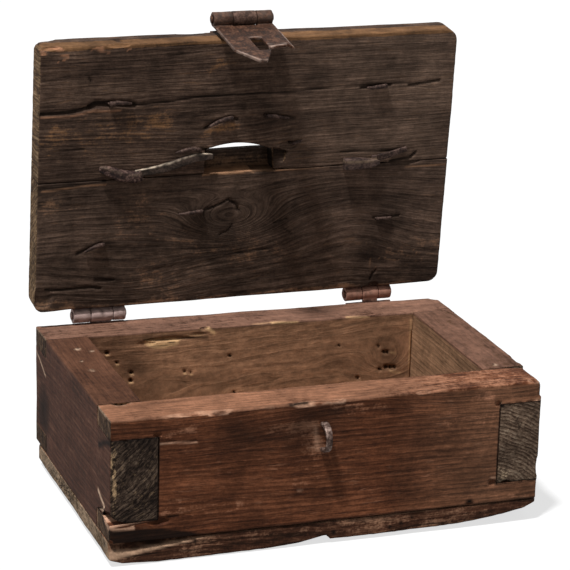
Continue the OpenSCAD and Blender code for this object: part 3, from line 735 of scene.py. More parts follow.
def end_marks(points, side):
    x, y, z = points.T
    top = z > RIM - 1.6
    inner = side * x < INNER + 1.5
    outer = side * x > RIGHT - 1.2
    tip = y < FRONT + 1.2
    bare = 0.8 * top
    flank = np.abs(x - (LEFT_TENON if side < 0 else INNER))
    edge = np.minimum(np.minimum(np.abs(z - TENON_LOW), np.abs(z - TENON_HIGH)), flank)
    # The rim's chips are pale, each with a dark bottom
    chips = RIM_CHIPS[side]
    bottoms = [(a + 0.5, b + 1.6, 0.8) for a, b, _ in chips]
    pale = top * holes(points, 0, 1, chips) * np.clip(0.3 + ripple(points, 2.5, 57), 0, 0.7)
    dark = most(
        tip * near(edge, 0.9),
        tip * near(np.abs(z - TENON_HIGH), 1.8),
        top * holes(points, 0, 1, bottoms),
    )
    if side < 0:
        ragged = np.abs(x + 147.8 - 1.6 * ripple(points, 5, 56))
        bare = bare + 0.6 * tip * near(ragged, 1.7)
        bare = bare + outer * drawn(points, 1, 2, [([(56, 61), (52, 49)], 5, 0.5)])
        broken = (y < FRONT + 16) & (z < 41) & ~tip
        hanging = (z > np.interp(y, (-95, -67), (86.4, 74.6))) * (y < FRONT + FRONT_T)
        knot = near(np.hypot((y - 79) / 12, (z - 47) / 14), 1.4) ** 0.4
        dark = most(
            dark,
            # Painted shade in the cavity under the tenon's broken corner
            0.95 * (broken & (x < -130) & (x > -145)),
            tip * drawn(points, 0, 2, TENON_CRACK),
            tip * holes(points, 0, 2, [(-112, 75, 0.9)]),
            outer * drawn(points, 1, 2, UNDER_FINGER, 0.6),
            0.35 * outer * hanging,
            0.85 * outer * knot,
            outer * drawn(points, 1, 2, LEFT_DARK),
        )
        pale = most(
            pale,
            0.85 * (broken & (x < -145) & (z < 37.5 + (y + 82) * 0.8)),
            outer * drawn(points, 1, 2, LEFT_SEAMS, 0.6),
            outer * drawn(points, 1, 2, REAR_SEAM),
        )
    else:
        hollow = holes(points, 0, 2, [(121, 86.4, 2.2)])
        dark = most(dark, tip * hollow, tip * drawn(points, 0, 2, TENON_RAGGED))
        bare = bare + 0.7 * tip * near(np.hypot(x - 125, z - 36), 8)
    within = inner * (y > FRONT + FRONT_T - 1) * (y < WALL_BACK - BACK_T + 4)
    return pale, dark, bare, 0.9 * within * (z < RIM - 1.6)


# Dark, even and smooth, as from many hands
left_wood = old_wood(
    "Old pine, dark brown and rubbed smooth",
    ("#34221a", "#492f25", "#5f4436"),
    worn="#54382a",
    pale="#cbac92",
    rough=0.72,
    blotch=0.4,
    relief=0.3,
    dust=0.25,
    spread=0.12,
)
# Almost black ends with a light ragged edge
tenon_left = old_wood(
    "Old pine end grain, nearly black",
    ("#18110d", "#382c24", "#5c4d40"),
    worn="#967c5e",
    pale="#a08468",
    relief=1.0,
    waves=END_GRAIN,
)
# Mid brown, pinkish where the rim is rubbed
right_wood = old_wood(
    "Old pine, brown, pinkish rim",
    ("#3b2519", "#5a3f2c", "#7d5d45"),
    worn="#674a3c",
    pale="#c0a48c",
    clean="#98775c",
    blotch=0.4,
    relief=0.35,
    spread=0.11,
)
# Grey-brown ends whose rings can be counted
tenon_right = old_wood(
    "Old pine end grain, grey-brown rings",
    ("#3d2f25", "#675445", "#897765"),
    worn="#948069",
    pale="#b89c80",
    relief=0.8,
    ring=2.4,
    rings=1.1,
    spread=0.11,
    waves=END_GRAIN,
)
for side, name, woods, pith, seed in (
    (-1, "left_board", (left_wood, tenon_left), (-215, 140), 14),
    (1, "right_board", (right_wood, tenon_right), (95, -20), 15),
):
    low = (LEFT, FRONT, FLOOR_T) if side < 0 else (INNER, FRONT, FLOOR_T)
    high = (-INNER, WALL_BACK, RIM) if side < 0 else (RIGHT, WALL_BACK, RIM)
    bm = sawn(low, high, END_STOPS, (1.3, 1.3, 1.3))
    points = points_of(bm)
    radius = 1.0 + 0.6 * ripple(points, 18, 51 + side)
    points, facing = worn(points, low, high, radius)
    points = tenoned(points)
    skewed = np.clip((points[:, 1] - 40) / 28, 0, 1)
    points[:, 1] += ASKEW * side * 135 * skewed
    if side < 0:
        ahead = points[:, 1] < FRONT + FRONT_T - 0.5
        points[ahead, 0] += ((points[:, 0] - LEFT) / END_T * (LEFT_TENON + INNER))[ahead]
        # The tenon's lower corner, broken off in a round
        away = np.clip((-135.0 - points[:, 0]) / 15, 0, 1)
        floor = TENON_LOW + 9.5 * (1 - np.sqrt(1 - away**2 * 0.98))
        room = np.clip((-77 - points[:, 1]) / 6, 0, 1)
        tip = points[:, 1] < FRONT + FRONT_T - 4
        points[tip, 2] = np.maximum(points[:, 2], TENON_LOW + (floor - TENON_LOW) * room)[tip]
    points = chipped(points, END_CHIPS[side])
    points = planed(points, facing, 0.22, ((0.2, 26, 53 + side), (0.1, 4, 54)))
    timber(
        name,
        bm,
        points,
        lambda p, pith=pith, seed=seed: growth(p, 1, pith, seed=seed),
        lambda p, side=side: end_marks(p, side),
        woods,
        1,
        "box",
    )

# Lid planks
# Two dark pine planks, lapped where they meet and held by the straps and split pins. They are
# built closed, in the frame of the hinge axis, and then stood open as in the photograph.
HINGE_Y, HINGE_Z = 100.2, 106.8
OPEN = Matrix.Translation((0, HINGE_Y, HINGE_Z)) @ Matrix.Rotation(radians(-84.8), 4, "X")
LID_LEFT, LID_RIGHT, LID_IN, LID_OUT = -152.5, 150.5, -5.5, 14.5
REAR, FORE = -6.5, -199.5
JOINT, LAP, LAP_Z = -102.0, -114.5, 8.5
# Places up the lid are counted from 9 mm above the hinge axis
LID_ZERO = -9.0


def lid_corners(points, radii):
    """Rounds the lid's corners, seen from above: rear left, rear right, front left, front right."""
    spots = ((LID_LEFT, REAR), (LID_RIGHT, REAR), (LID_LEFT, FORE), (LID_RIGHT, FORE))
    for (x, y), radius in zip(spots, radii):
        out = np.array((1 if x > 0 else -1, 1 if y == REAR else -1))
        centre = np.array((x, y)) - out * radius
        away = points[:, :2] - centre
        beyond = (away[:, 0] * out[0] > 0) & (away[:, 1] * out[1] > 0)
        length = np.maximum(np.linalg.norm(away, axis=1), 1e-9)
        scale = np.abs(away).max(axis=1) / length
        points[beyond, :2] = (centre + away * scale[:, None])[beyond]
    return points


def on_lid(lines):
    """Lines on a plank, whose points are written as (across, up)."""
    return [([(u, LID_ZERO - v) for u, v in line], *rest) for line, *rest in lines]


# Nearly black-brown in dirty patches, dry and matt
lid_wood = old_wood(
    "Old pine, nearly black-brown",
    ("#2d221c", "#4f3f35", "#6f5a4d"),
    worn="#775a45",
    pale="#b88a68",
    clean="#6b564a",
    blotch=0.8,
    relief=0.5,
    dust=0.4,
    spread=0.13,
)
# Grey-brown ends at both sides of the lid
lid_end = old_wood(
    "Old pine end grain, grey-brown",
    ("#3a2b20", "#665039", "#8a735a"),
    worn="#6b5640",
    pale="#a77250",
    relief=0.9,
    waves=END_GRAIN,
)

# Rear plank, with the lap that runs under the front one
low, high = (LID_LEFT, LAP, LID_IN), (LID_RIGHT, REAR, LID_OUT)
lap_lines = {1: (JOINT - 0.06, JOINT, JOINT + 0.6), 2: (LAP_Z - 0.06, LAP_Z)}
bm = sawn(low, high, lap_lines, (1.15, 1.15, 1.6))
points = points_of(bm)
radius = 1.1 + 0.6 * ripple(points, 20, 61)
points, facing = worn(points, low, high, radius)
points = lid_corners(points, (6, 8, 0.01, 0.01))
inside = points[:, 2] < LAP_Z - 0.03
points[inside, 1] = np.maximum(points[inside, 1], JOINT)
REAR_CHIPS = [
    ((10, JOINT - 1, LID_IN - 1), (11, 3.0, 4.5)),
    ((-148, -17, LID_IN - 2), (10, 9, 4.2)),
    ((100, REAR + 1, LID_IN - 1), (5, 5, 3.2)),
    ((-120, REAR + 1.5, LID_IN), (30, 2.6, 2.2)),
    ((117, JOINT - 0.6, LID_IN - 1), (14, 3.2, 3.2)),
]
points = chipped(points, REAR_CHIPS)
points = planed(points, facing, 0.25, ((0.22, 24, 63), (0.12, (9, 3, 3), 64)))
points[:, 0] = np.clip(points[:, 0], LID_LEFT, LID_RIGHT)
inner = facing[:, 2] < -0.9
REAR_CRACKS = on_lid([
    ([(-30, 66.5), (-20, 70), (-14.5, 73), (-8, 68.5), (-6.6, 64)], 1.0, 2.0),
    ([(-20.6, 46.5), (-13.3, 49.8), (-10.6, 54.1)], 0.7, 0.7),
    ([(20, 52.7), (31.2, 55.9)], 0.7, 0.8),
    ([(27, 49), (34, 44)], 0.6, 0.6),
    ([(-145, 14.5), (-134, 13.6), (-112.9, 14.2), (-105.6, 12.5)], 1.2, 1.8),
    ([(-110, 19), (-96, 18.5)], 0.9, 1.0),
    ([(97, 3), (99, 8), (101, 10)], 0.9, 1.4),
    ([(96, 51.5), (104, 50.6), (116, 52)], 0.9, 1.6),
    ([(-123, 40), (-106, 47)], 1.6, 1.2),
    ([(-8, 32), (24, 34)], 0.5, 0.5),
    ([(-151, 80), (-128, 80.6)], 0.5, 0.6),
])
points[inner, 2] += strokes(points[inner], 0, 1, REAR_CRACKS).sum(axis=0)
REAR_DARK = [(line, half * 1.2, 0.9) for line, half, _ in REAR_CRACKS]
REAR_DARK += on_lid([([(-151, 89.5), (-104, 92.6)], 1.0, 1.0)])
REAR_WORN = on_lid([
    ([(-149, 3), (-130, 2)], 8, 0.45),
    ([(96, 25), (146, 25)], 12, 0.3),
    ([(-146, 78), (-128, 76)], 12, 0.35),
    ([(-22, 40), (20, 30)], 18, 0.3),
    ([(-80, 22), (-60, 12)], 20, 0.22),
    ([(-84, 62), (-60, 44), (-6, 30)], 26, 0.34),
])
REAR_PALE = on_lid([
    ([(-149, 87.6), (-118, 90), (-104, 90)], 0.8, 0.6),
    ([(20, 92.6), (60, 91.8)], 0.7, 0.5),
    ([(118, 89.4), (149, 88.6)], 0.8, 0.55),
])
REAR_FLECKS = on_lid([([(100, 22), (144, 25)], 14, 0.8)])
# Dirty spots round the nails and the knots: across, up, radius
REAR_DIRT = ((-31, 66, 7.2), (-103, 46.4, 7.2), (101, 51, 5.4), (95, 90, 10.8))


def rear_marks(points):
    x, y, z = points.T
    v = LID_ZERO - y
    face = z < LID_IN + 2.5
    dirt = [0.45 * near(np.hypot(x - u, v - w), radius) for u, w, radius in REAR_DIRT]
    dark = face * most(drawn(points, 0, 1, REAR_DARK), *dirt)
    bare = most(
        face * (0.5 * near(v, 2.2) + strokes(points, 0, 1, REAR_WORN).sum(axis=0)),
        # The joint's edge inside the slot: worn, and painted light where the key light falls on its
        # ledge
        0.85 * ((v > 91.6) & (v < 94.5) & (x > -33) & (x < 24)),
        0.5 * (z > LID_IN + 2) * (v < 2),
    )
    flecks = np.clip(ripple(points, 2.4, 71) * 3 - 1.9, 0, 1)
    # The ledge inside the slot is painted light, brighter than its shade
    lit_ledge = (v > 92.4) * (z < LAP_Z - 0.1) * (x > -34) * (x < 3)
    pale = most(
        face * drawn(points, 0, 1, REAR_PALE),
        face * flecks * drawn(points, 0, 1, REAR_FLECKS),
        0.9 * lit_ledge * np.clip(0.8 + ripple(points, 6, 72), 0, 1),
    )
    clean = face * np.interp(x, (20, 90, 150), (0, 0.2, 0.1)) * (v > 36)
    return pale, dark, bare, clean


REAR_WARP = (
    ((-12, -67, -5), (30, 14, 60), 26),
    ((78, -61, -5), (48, 34, 60), -11),
    ((-80, -29, -5), (50, 20, 60), 6),
)
timber(
    "lid_rear_plank",
    bm,
    points,
    lambda p: growth(p, 0, (60, -120), REAR_WARP, seed=16),
    rear_marks,
    (lid_wood, lid_end),
    0,
    "lid",
    OPEN,
)

# Front plank, with the coin slot cut into its edge and a long shake from its left end
low, high = (LID_LEFT, FORE, LID_IN), (LID_RIGHT, JOINT - 0.15, LID_OUT)
SLOT_LEFT, SLOT_RIGHT, SLOT_X, SLOT_TOP, SLOT_ARC = -33.4, 18.0, -11.4, 115.0, 62.0
lap_lines = {1: (LAP - 0.15, LAP - 0.09), 2: (LAP_Z - 0.2, LAP_Z - 0.14)}
lap_lines[0] = (SLOT_LEFT, SLOT_RIGHT)
bm = sawn(low, high, lap_lines, (1.15, 1.15, 1.6))
points = points_of(bm)
radius = 1.2 + 0.6 * ripple(points, 20, 81)
points, facing = worn(points, low, high, radius)
points = lid_corners(points, (0.01, 0.01, 4, 9))
outer = points[:, 2] > LAP_Z - 0.17
points[outer, 1] = np.minimum(points[outer, 1], LAP - 0.12)
# The notch: its upper edge is an arch
slot = (points[:, 0] > SLOT_LEFT + 0.01) & (points[:, 0] < SLOT_RIGHT - 0.01)
arch = SLOT_TOP - SLOT_ARC + np.sqrt(SLOT_ARC**2 - np.clip(points[:, 0] - SLOT_X, -32, 32) ** 2)
points[slot, 1] = np.minimum(points[slot, 1], (LID_ZERO - arch)[slot])
FRONT_LID_CHIPS = [
    ((-152, FORE - 1, 16), (16, 7, 7)),
    ((-151, FORE, LID_IN), (12, 2.6, 3.0)),
    ((-98, FORE - 0.5, LID_IN), (9, 3.0, 2.2)),
    ((-96, FORE - 1.5, 4), (3.6, 3.5, 3.2)),
    ((-42, FORE - 1, LID_OUT + 1), (15, 2.4, 4)),
    ((18, -112, LID_IN), (9, 7, 9)),
    ((28, -120, LID_IN - 1), (7, 3.6, 5)),
]
points = chipped(points, FRONT_LID_CHIPS)
points = planed(points, facing, 0.25, ((0.22, 24, 83), (0.12, (9, 3, 3), 84)))
points[:, 0] = np.clip(points[:, 0], LID_LEFT, LID_RIGHT)
inner = facing[:, 2] < -0.9
FRONT_CRACKS = on_lid([
    ([(-152, 143.6), (-137, 143.8), (-127, 144.5), (-117, 146.8)], 1.6, 3.0),
    ([(-117, 147), (-113, 149.2), (-103, 148.6), (-92, 147.4), (-86, 146.9)], 2.6, 4.2),
    ([(-86, 147), (-60, 148.2), (-38.7, 150.4), (-13, 150.8), (12, 149.8)], 0.8, 1.4),
    ([(12, 149.8), (60, 152), (116, 153)], 0.55, 0.8),
    ([(-34, 127.2), (-25.4, 131.1), (-16.9, 134.2), (-10.9, 132.4)], 1.3, 2.0),
    ([(9, 134.4), (31, 131)], 1.5, 1.6),
    ([(67.3, 103.6), (96, 102.6), (119.3, 101.6)], 0.6, 0.9),
    ([(106, 94), (121.3, 96.2), (124.9, 99.7)], 1.3, 2.2),
    ([(80, 150.6), (102, 151.6)], 1.3, 1.8),
    ([(116, 150.6), (139, 153.2)], 1.3, 1.8),
    ([(-36, 112), (-30, 111)], 1.4, 2.5),
    ([(-151, 118), (-120, 117)], 0.5, 0.5),
    ([(-118, 168), (-116.5, 165)], 0.9, 1.0),
    ([(18, 108), (26, 105.5)], 2.0, 4.5),
])
points[inner, 2] += strokes(points[inner], 0, 1, FRONT_CRACKS).sum(axis=0)
FORE_DARK = [(line, half * 1.25, 0.95) for line, half, _ in FRONT_CRACKS]
FORE_WORN = on_lid([
    ([(-32, 169), (-24, 173.8), (-14, 174)], 5, 0.5),
    ([(-34, 124), (-12, 129)], 6, 0.4),
    ([(-140, 122), (-96, 126), (-70, 136)], 20, 0.34),
])
# The lit lower lip of the shake
LIP = [(-151, 141.4), (-132, 140.6), (-123, 142.2), (-113, 144.2), (-102, 143), (-95, 143.6)]
LIP = on_lid([(LIP, 1.0, 0.5)])
# Fresh orange breaks at the upper left: across, up, half width, half height
FRESH_TIPS = ((-146, 187, 8, 4), (-103, 187.4, 11, 2.2), (-140, 184, 6, 3))


def fore_marks(points):
    x, y, z = points.T
    v = LID_ZERO - y
    face = z < LID_IN + 4.5
    dark = most(
        face * drawn(points, 0, 1, FORE_DARK),
        0.8 * face * near(v - 93.2, 1.1) * ((x < -104) | (x > 118)),
        # Painted shade in the recess at the slot's right end, behind its broken chips
        0.85 * (x > 3) * (x < 22) * (v < 113) * (v > 93) * (z > LID_IN + 3),
    )
    fresh = [np.hypot((x - u) / wide, (v - w) / tall) < 1.3 for u, w, wide, tall in FRESH_TIPS]
    fibres = np.clip(ripple(points, (5, 1.6, 3), 91) * 2, 0, 0.8)
    pale = face * most(drawn(points, 0, 1, LIP), most(*fresh) * fibres)
    bare = face * (0.35 * near(189 - v, 2.0) + strokes(points, 0, 1, FORE_WORN).sum(axis=0))
    bare = np.maximum(bare, 0.95 * (v > 188.2) * (z < LID_IN + 11))
    clean = face * np.interp(x, (10, 70, 130, 150), (0, 0.45, 0.5, 0.3)) * (v < 189)
    return pale, dark, bare, clean


# The same dark wood, browner, with a golden worn edge
lid_front_wood = old_wood(
    "Old pine, nearly black-brown, golden edge",
    ("#2d221c", "#4d3c32", "#6f5a4c"),
    worn="#725339",
    pale="#b88464",
    clean="#7a6455",
    spread=0.12,
    blotch=0.8,
    relief=0.6,
    dust=0.45,
)
timber(
    "lid_front_plank",
    bm,
    points,
    lambda p: growth(p, 0, (240, -60), (((-20, -129, -5), (60, 14, 60), 5),), seed=17),
    fore_marks,
    (lid_front_wood, lid_end),
    0,
    "lid",
    OPEN,
)

# Staple
# A flat iron bar bent to an arch, its two legs driven through the front board. A padlock went
# through it. Rusted, lighter and a little shinier than the other iron.


def block(low, high, rounding, step=1.1):
    """A small solid bar with worn edges."""
    bm = sawn(low, high, {}, (step, step, step))
    shaped, _ = worn(points_of(bm), low, high, np.full(len(bm.verts), float(rounding)))
    move(bm, shaped)
    return bm


def bar(path, wide, thick, rounding, fixed, flat=True, step=1.2):
    """A bar bent along a path. Its width lies across the fixed direction, or along it if not flat.

    wide and thick are sizes, or lists of sizes that are spread evenly over the bar's length."""
    path = np.array(path, float)
    steps = np.linalg.norm(np.diff(path, axis=0), axis=1)
    run = np.concatenate([[0], np.cumsum(steps)])
    wides, thicks = np.atleast_1d(wide).astype(float), np.atleast_1d(thick).astype(float)
    w, t = wides.max() / 2, thicks.max() / 2
    bm = block((0, -w, -t), (run[-1], w, t), rounding, step)
    points = points_of(bm)
    along = points[:, 0]
    spread = along / run[-1]
    side = points[:, 1] * np.interp(spread, np.linspace(0, 1, len(wides)), wides / (2 * w))
    rise = points[:, 2] * np.interp(spread, np.linspace(0, 1, len(thicks)), thicks / (2 * t))

    def at(where):
        ends = np.clip(where, 0, run[-1])
        spot = np.stack([np.interp(ends, run, path[:, i]) for i in range(3)], axis=1)
        first, last = (path[1] - path[0]) / steps[0], (path[-1] - path[-2]) / steps[-1]
        beyond = np.minimum(where, 0)[:, None] * first
        return spot + beyond + np.maximum(where - run[-1], 0)[:, None] * last

    spot = (at(along - 1) + at(along) + at(along + 1)) / 3
    ahead = at(along + 1.6) - at(along - 1.6)
    ahead /= np.linalg.norm(ahead, axis=1, keepdims=True)
    fixed = np.array(fixed, float)
    other = np.cross(fixed, ahead)
    other /= np.linalg.norm(other, axis=1, keepdims=True)
    across, up = (other, fixed) if flat else (fixed, other)
    move(bm, spot + side[:, None] * across + rise[:, None] * up)
    if not flat:
        bmesh.ops.reverse_faces(bm, faces=bm.faces)
    return bm


def rolled(profile, centre, segments=36):
    """A round piece about the X axis; its profile is (along, radius), closed if it ends as it began."""
    bm = bmesh.new()
    verts = [bm.verts.new((x, 0, r)) for x, r in profile[: -1 if profile[0] == profile[-1] else None]]
    edges = [bm.edges.new(pair) for pair in zip(verts, verts[1:])]
    if profile[0] == profile[-1]:
        edges.append(bm.edges.new((verts[-1], verts[0])))
    bmesh.ops.subdivide_edges(bm, edges=[e for e in edges if e.calc_length() > 2.4], cuts=5)
    bmesh.ops.spin(
        bm,
        geom=bm.verts[:] + bm.edges[:],
        cent=(0, 0, 0),
        axis=(1, 0, 0),
        angle=2 * pi,
        steps=segments,
        use_merge=True,
    )
    bmesh.ops.remove_doubles(bm, verts=bm.verts, dist=1e-4)
    bmesh.ops.translate(bm, vec=centre, verts=bm.verts)
    return bm


def knuckle(start, end, radius=5.2, bore=2.3, ease=0.5):
    """The profile of a rolled knuckle with eased ends."""
    return [
        (start, bore), (start, radius - ease), (start + ease * 0.4, radius - ease * 0.3),
        (start + ease, radius), (end - ease, radius), (end - ease * 0.4, radius - ease * 0.3),
        (end, radius - ease), (end, bore), (start, bore),
    ]


def forged(name, parts, metal, node, body, place=None, dents=0.14, rubbed=None):
    """Joins the forged parts of a piece, dents their skin, and says where it rides.

    rubbed gives for each point, from 0 to 1, how much lighter it is painted: worn iron, and on the hasp
    and the split pins painted highlights along lit edges."""
    mesh = bpy.data.meshes.new(name)
    joined = bmesh.new()
    for part in parts:
        part.to_mesh(mesh)
        part.free()
        joined.from_mesh(mesh)
    bmesh.ops.recalc_face_normals(joined, faces=joined.faces)
    joined.normal_update()
    points = points_of(joined)
    facing = np.array([v.normal for v in joined.verts])
    uneven = 0.6 * ripple(points, 5, 101) + 0.4 * ripple(points, 1.9, 102) - 0.9
    move(joined, points + facing * (dents * uneven)[:, None])
    for face in joined.faces:
        face.smooth = True
    joined.to_mesh(mesh)
    joined.free()
    if rubbed is not None:
        stored = mesh.attributes.new("rubbed", "FLOAT", "POINT")
        broken = np.clip(0.75 + 0.8 * ripple(points, 2.2, 103), 0, 1)
        stored.data.foreach_set("value", np.clip(rubbed(points) * broken, 0, 1).astype(np.float32))
    finish(name, mesh, [metal], node, body, place)


def rust(name, dark, mid, light, worn_and_highlight="#b3a094", rough=0.68, relief=0.6, metal=0.25):
    """Forged iron under old rust: mottled, pitted, and lighter where its rubbed attribute says: worn
    iron, and painted highlights along lit edges.
    """
    material = bpy.data.materials.new(name)
    material.use_nodes = True
    tree = material.node_tree
    tree.nodes.clear()
    place = put(tree, "TexCoord", {}, "Object")
    blotch = {"Vector": place, "Scale": 170.0, "Detail": 4.0, "Roughness": 0.65}
    blotch = put(tree, "TexNoise", blotch)
    grit = put(tree, "TexNoise", {"Vector": place, "Scale": 620.0, "Detail": 3.0, "Roughness": 0.6})
    value = put(tree, "Mix", {"data_type": "FLOAT", 0: 0.45, 2: blotch, 3: grit})
    colour = put(tree, "ValToRGB", {0: value, "stops": [(0.40, dark), (0.60, light), (0.5, mid)]})
    # Worn iron, and painted highlights on the pieces that have them
    rubbed = put(tree, "Attribute", {"attribute_name": "rubbed"}, "Fac")
    colour = put(tree, "Mix", {"data_type": "RGBA", 0: rubbed, 6: colour, 7: linear(worn_and_highlight)}, 2)
    bump = put(tree, "Bump", {"Strength": relief, "Distance": 0.0006, "Height": value})
    shader = {"Base Color": colour, "Metallic": metal, "Roughness": rough, "Normal": bump}
    shader = put(tree, "BsdfPrincipled", {**shader, "Specular IOR Level": 0.2})
    put(tree, "OutputMaterial", {"Surface": shader})
    return material


STAPLE_X, STAPLE_Z, STAPLE_R, STAPLE_OUT = -5.5, 76.8, 8.85, 12.5
LEG_END = FRONT + 22.5
# Grey-brown with a soft shine
staple_iron = rust("Rubbed staple iron", "#2c201b", "#59463e", "#8d796f", metal=0.4, rough=0.5)
arch_y = FRONT - STAPLE_OUT + 1.3 + STAPLE_R
arch = [(STAPLE_X, LEG_END, STAPLE_Z + STAPLE_R)]
for i in range(13):
    turn = pi / 2 + pi * i / 12
    arch.append((STAPLE_X, arch_y + STAPLE_R * cos(turn), STAPLE_Z + STAPLE_R * sin(turn)))
arch.append((STAPLE_X, LEG_END, STAPLE_Z - STAPLE_R))
staple = bar(arch, (5.0, 5.0, 5.0, 4.2, 4.6, 5.0, 5.0), 2.5, 0.8, (1, 0, 0), flat=False)
forged("staple", [staple], staple_iron, "staple", "box", dents=0.1)

# Nails of the box
# Hand-forged iron nails: ten up through the bottom board, one down through each corner joint
# into the tenon, and three through each leaf into the back board.
# Dark brown, almost without shine
nail_iron = rust("Nail iron, dark rust", "#1f1613", "#3a2b25", "#5d4a42")


def nail(length, head=4.5, height=1.8, top=1.8, under=None):
    """A nail along -X with its head's underside at 0, as the profile of a round piece."""
    under = head if under is None else under
    return [
        (height, 0.0), (height, top * 0.6), (height * 0.94, top), (0.0, under), (0.0, 1.5),
        (-length + 5, 1.5), (-length, 0.3), (-length, 0.0),
    ]


def driven(profile, head, direction):
    """A nail at its place, pointing the way that it was driven."""
    bm = rolled(profile, (0, 0, 0), 16)
    turned = Vector((-1, 0, 0)).rotation_difference(Vector(direction)).to_matrix().to_4x4()
    bmesh.ops.transform(bm, matrix=Matrix.Translation(head) @ turned, verts=bm.verts)
    return bm


bottom_nails = []
for x in (-96, 0, 96):
    for y in (-79, 83):
        bottom_nails.append(driven(nail(40, 4.5, 1.8, 3.4), (x, y, 2.0), (0, 0, 1)))
for x in (-135, 135):
    for y in (-34.2, 34.2):
        bottom_nails.append(driven(nail(40, 4.5, 1.8, 3.4), (x, y, 2.0), (0, 0, 1)))
forged("bottom_nails", bottom_nails, nail_iron, "bottom_nails", "box", dents=0.08)

corner_nails = []
for x in (-135, 135):
    for y in (-71, 75.5):
        corner_nails.append(driven(nail(38, 3.5, 1.5, 2.4), (x, y, RIM - 1.9), (0, 0, -1)))
forged("corner_nails", corner_nails, nail_iron, "corner_nails", "box", dents=0.1)

# A hinge: its place, the barrel's length, the middle knuckle's place on it and half its length,
# and where the leaf's inner face lies. SHEET is the room that leaves and straps take up
LEFT_HINGE = {"x": -105.0, "long": 38.0, "mid": 1.71, "half": 7.97, "leaf": 99.1}
RIGHT_HINGE = {"x": 97.5, "long": 35.0, "mid": 1.225, "half": 6.1, "leaf": 95.6}
SHEET = 2.4
leaf_nails = []
for hinge in (LEFT_HINGE, RIGHT_HINGE):
    spots = [(-0.24 * hinge["long"], 84.36), (0.24 * hinge["long"], 84.36), (0.0, 65.12)]
    for x, z in spots:
        head = (hinge["x"] + x, hinge["leaf"] + SHEET, z)
        leaf_nails.append(driven(nail(19.9), head, (0, -1, 0)))
forged("leaf_nails", leaf_nails, nail_iron, "leaf_nails", "box", dents=0.1)

# Hinge leaves and pins
# Each hinge has a leaf nailed on the outside of the back board, a short forged sheet that ends
# above in the middle knuckle, and a pin peened over at both ends of the barrel.
# A cool purple-grey, a warm red and a dark brown rust; the knuckles are lighter
barrel_left = rust("Strap iron, purple-grey rust", "#453632", "#66544e", "#85726b", "#b29a93")
barrel_right = rust("Strap iron, red rust", "#402c25", "#5f443a", "#7e6153", "#99705f")
strap_iron = rust("Strap iron, dark rust", "#2c201b", "#4b372e", "#6b5348")
HINGES = (("left", LEFT_HINGE, barrel_left), ("right", RIGHT_HINGE, barrel_right))
KNUCKLE_R, KNUCKLE_GAP, LEAF_LONG = 5.4, 0.2, 51.7


def turned_bright(points, y=0.0, z=0.0):
    """The rolled knuckles are rubbed lighter than the flat iron."""
    return 1.2 * (np.hypot(points[:, 1] - y, points[:, 2] - z) < 6.3)


def barrel_bright(points):
    """The same on the box, where the barrels stand at the hinge axis."""
    return turned_bright(points, HINGE_Y, HINGE_Z)


def tapering(length, root, tip):
    """Widths along a strap that narrows evenly and ends in a round tip of this radius."""
    spots = np.linspace(0, length, 60)
    wide = np.interp(spots, (0, length - tip), (root, tip * 2))
    left = np.clip(spots - (length - tip), 0, tip)
    return np.maximum(np.where(left > 0, 2 * np.sqrt(np.maximum(tip**2 - left**2, 0.02)), wide), 0.6)


def peened(half, radius=2.05):
    """The profile of a pin through a barrel, hammered to a low head at both ends."""
    head = [(1.25, 0.0), (1.2, 1.6), (0.9, 2.7), (0.35, 3.0), (0.32, radius)]
    return [(-half - out, r) for out, r in head] + [(half + out, r) for out, r in reversed(head)]


for side, hinge, metal in HINGES:
    start, end = hinge["mid"] - hinge["half"], hinge["mid"] + hinge["half"]
    x, mid = hinge["x"], hinge["x"] + hinge["mid"]
    barrel = rolled(knuckle(start, end, KNUCKLE_R), (x, HINGE_Y, HINGE_Z))
    neck_low = (mid - hinge["half"] + 0.3, hinge["leaf"] + 0.05, RIM - 1)
    neck = block(neck_low, (mid + hinge["half"] - 0.3, hinge["leaf"] + SHEET, 104), 0.6)
    down = [(x, hinge["leaf"] + 1.22, RIM - 0.1 - s) for s in np.linspace(0, LEAF_LONG, 12)]
    leaf = bar(down, tapering(LEAF_LONG, hinge["long"], 13.0), 2.3, 0.6, (0, 1, 0), step=1.6)
    name = side + "_hinge_leaf"
    forged(name, [barrel, neck, leaf], metal, name, "box", dents=0.12, rubbed=barrel_bright)
    pin = rolled(peened(hinge["long"] / 2), (x, HINGE_Y, HINGE_Z))
    name = side + "_hinge_pin"
    forged(name, [pin], metal, name, "box", dents=0.03, rubbed=barrel_bright)

# Hinge straps
# Long tapering straps on the lid's outer face, bent round its rear edge and rolled to the outer
# knuckles. Each is held by a split pin, two nails clinched inside and one short nail.
STRAP_REACH = 177.0
for side, hinge, metal in HINGES:
    x, half = hinge["x"], hinge["long"] / 2
    gap = hinge["half"] + KNUCKLE_GAP
    outers = ((-half, hinge["mid"] - gap), (hinge["mid"] + gap, half))
    parts = [rolled(knuckle(*ends, KNUCKLE_R), (x, 0, 0)) for ends in outers]
    for low_x, high_x in outers:
        parts.append(block((x + low_x + 0.1, -5.15, 0), (x + high_x - 0.1, -2.85, 7.5), 0.6))
    over = [(x, -4.0, 6.2), (x, -4.0, 12.6), (x, -4.3, 14.4), (x, -5.2, 15.3), (x, -7.0, 15.68)]
    over += [(x, y, 15.68) for y in np.linspace(-12, -STRAP_REACH, 40)]
    long = STRAP_REACH - 4 + 11
    wide = tapering(long, hinge["long"], 11.0)
    parts.append(bar(over, wide, 2.3, 0.6, (1, 0, 0), flat=False, step=2.2))
    name = side + "_hinge_strap"
    forged(name, parts, metal, name, "lid", OPEN, dents=0.12, rubbed=turned_bright)

# Clinched nails
# The nails of the straps and the lid come through to the inner face, where their ends are bent
# over flat on the wood, each its own way.


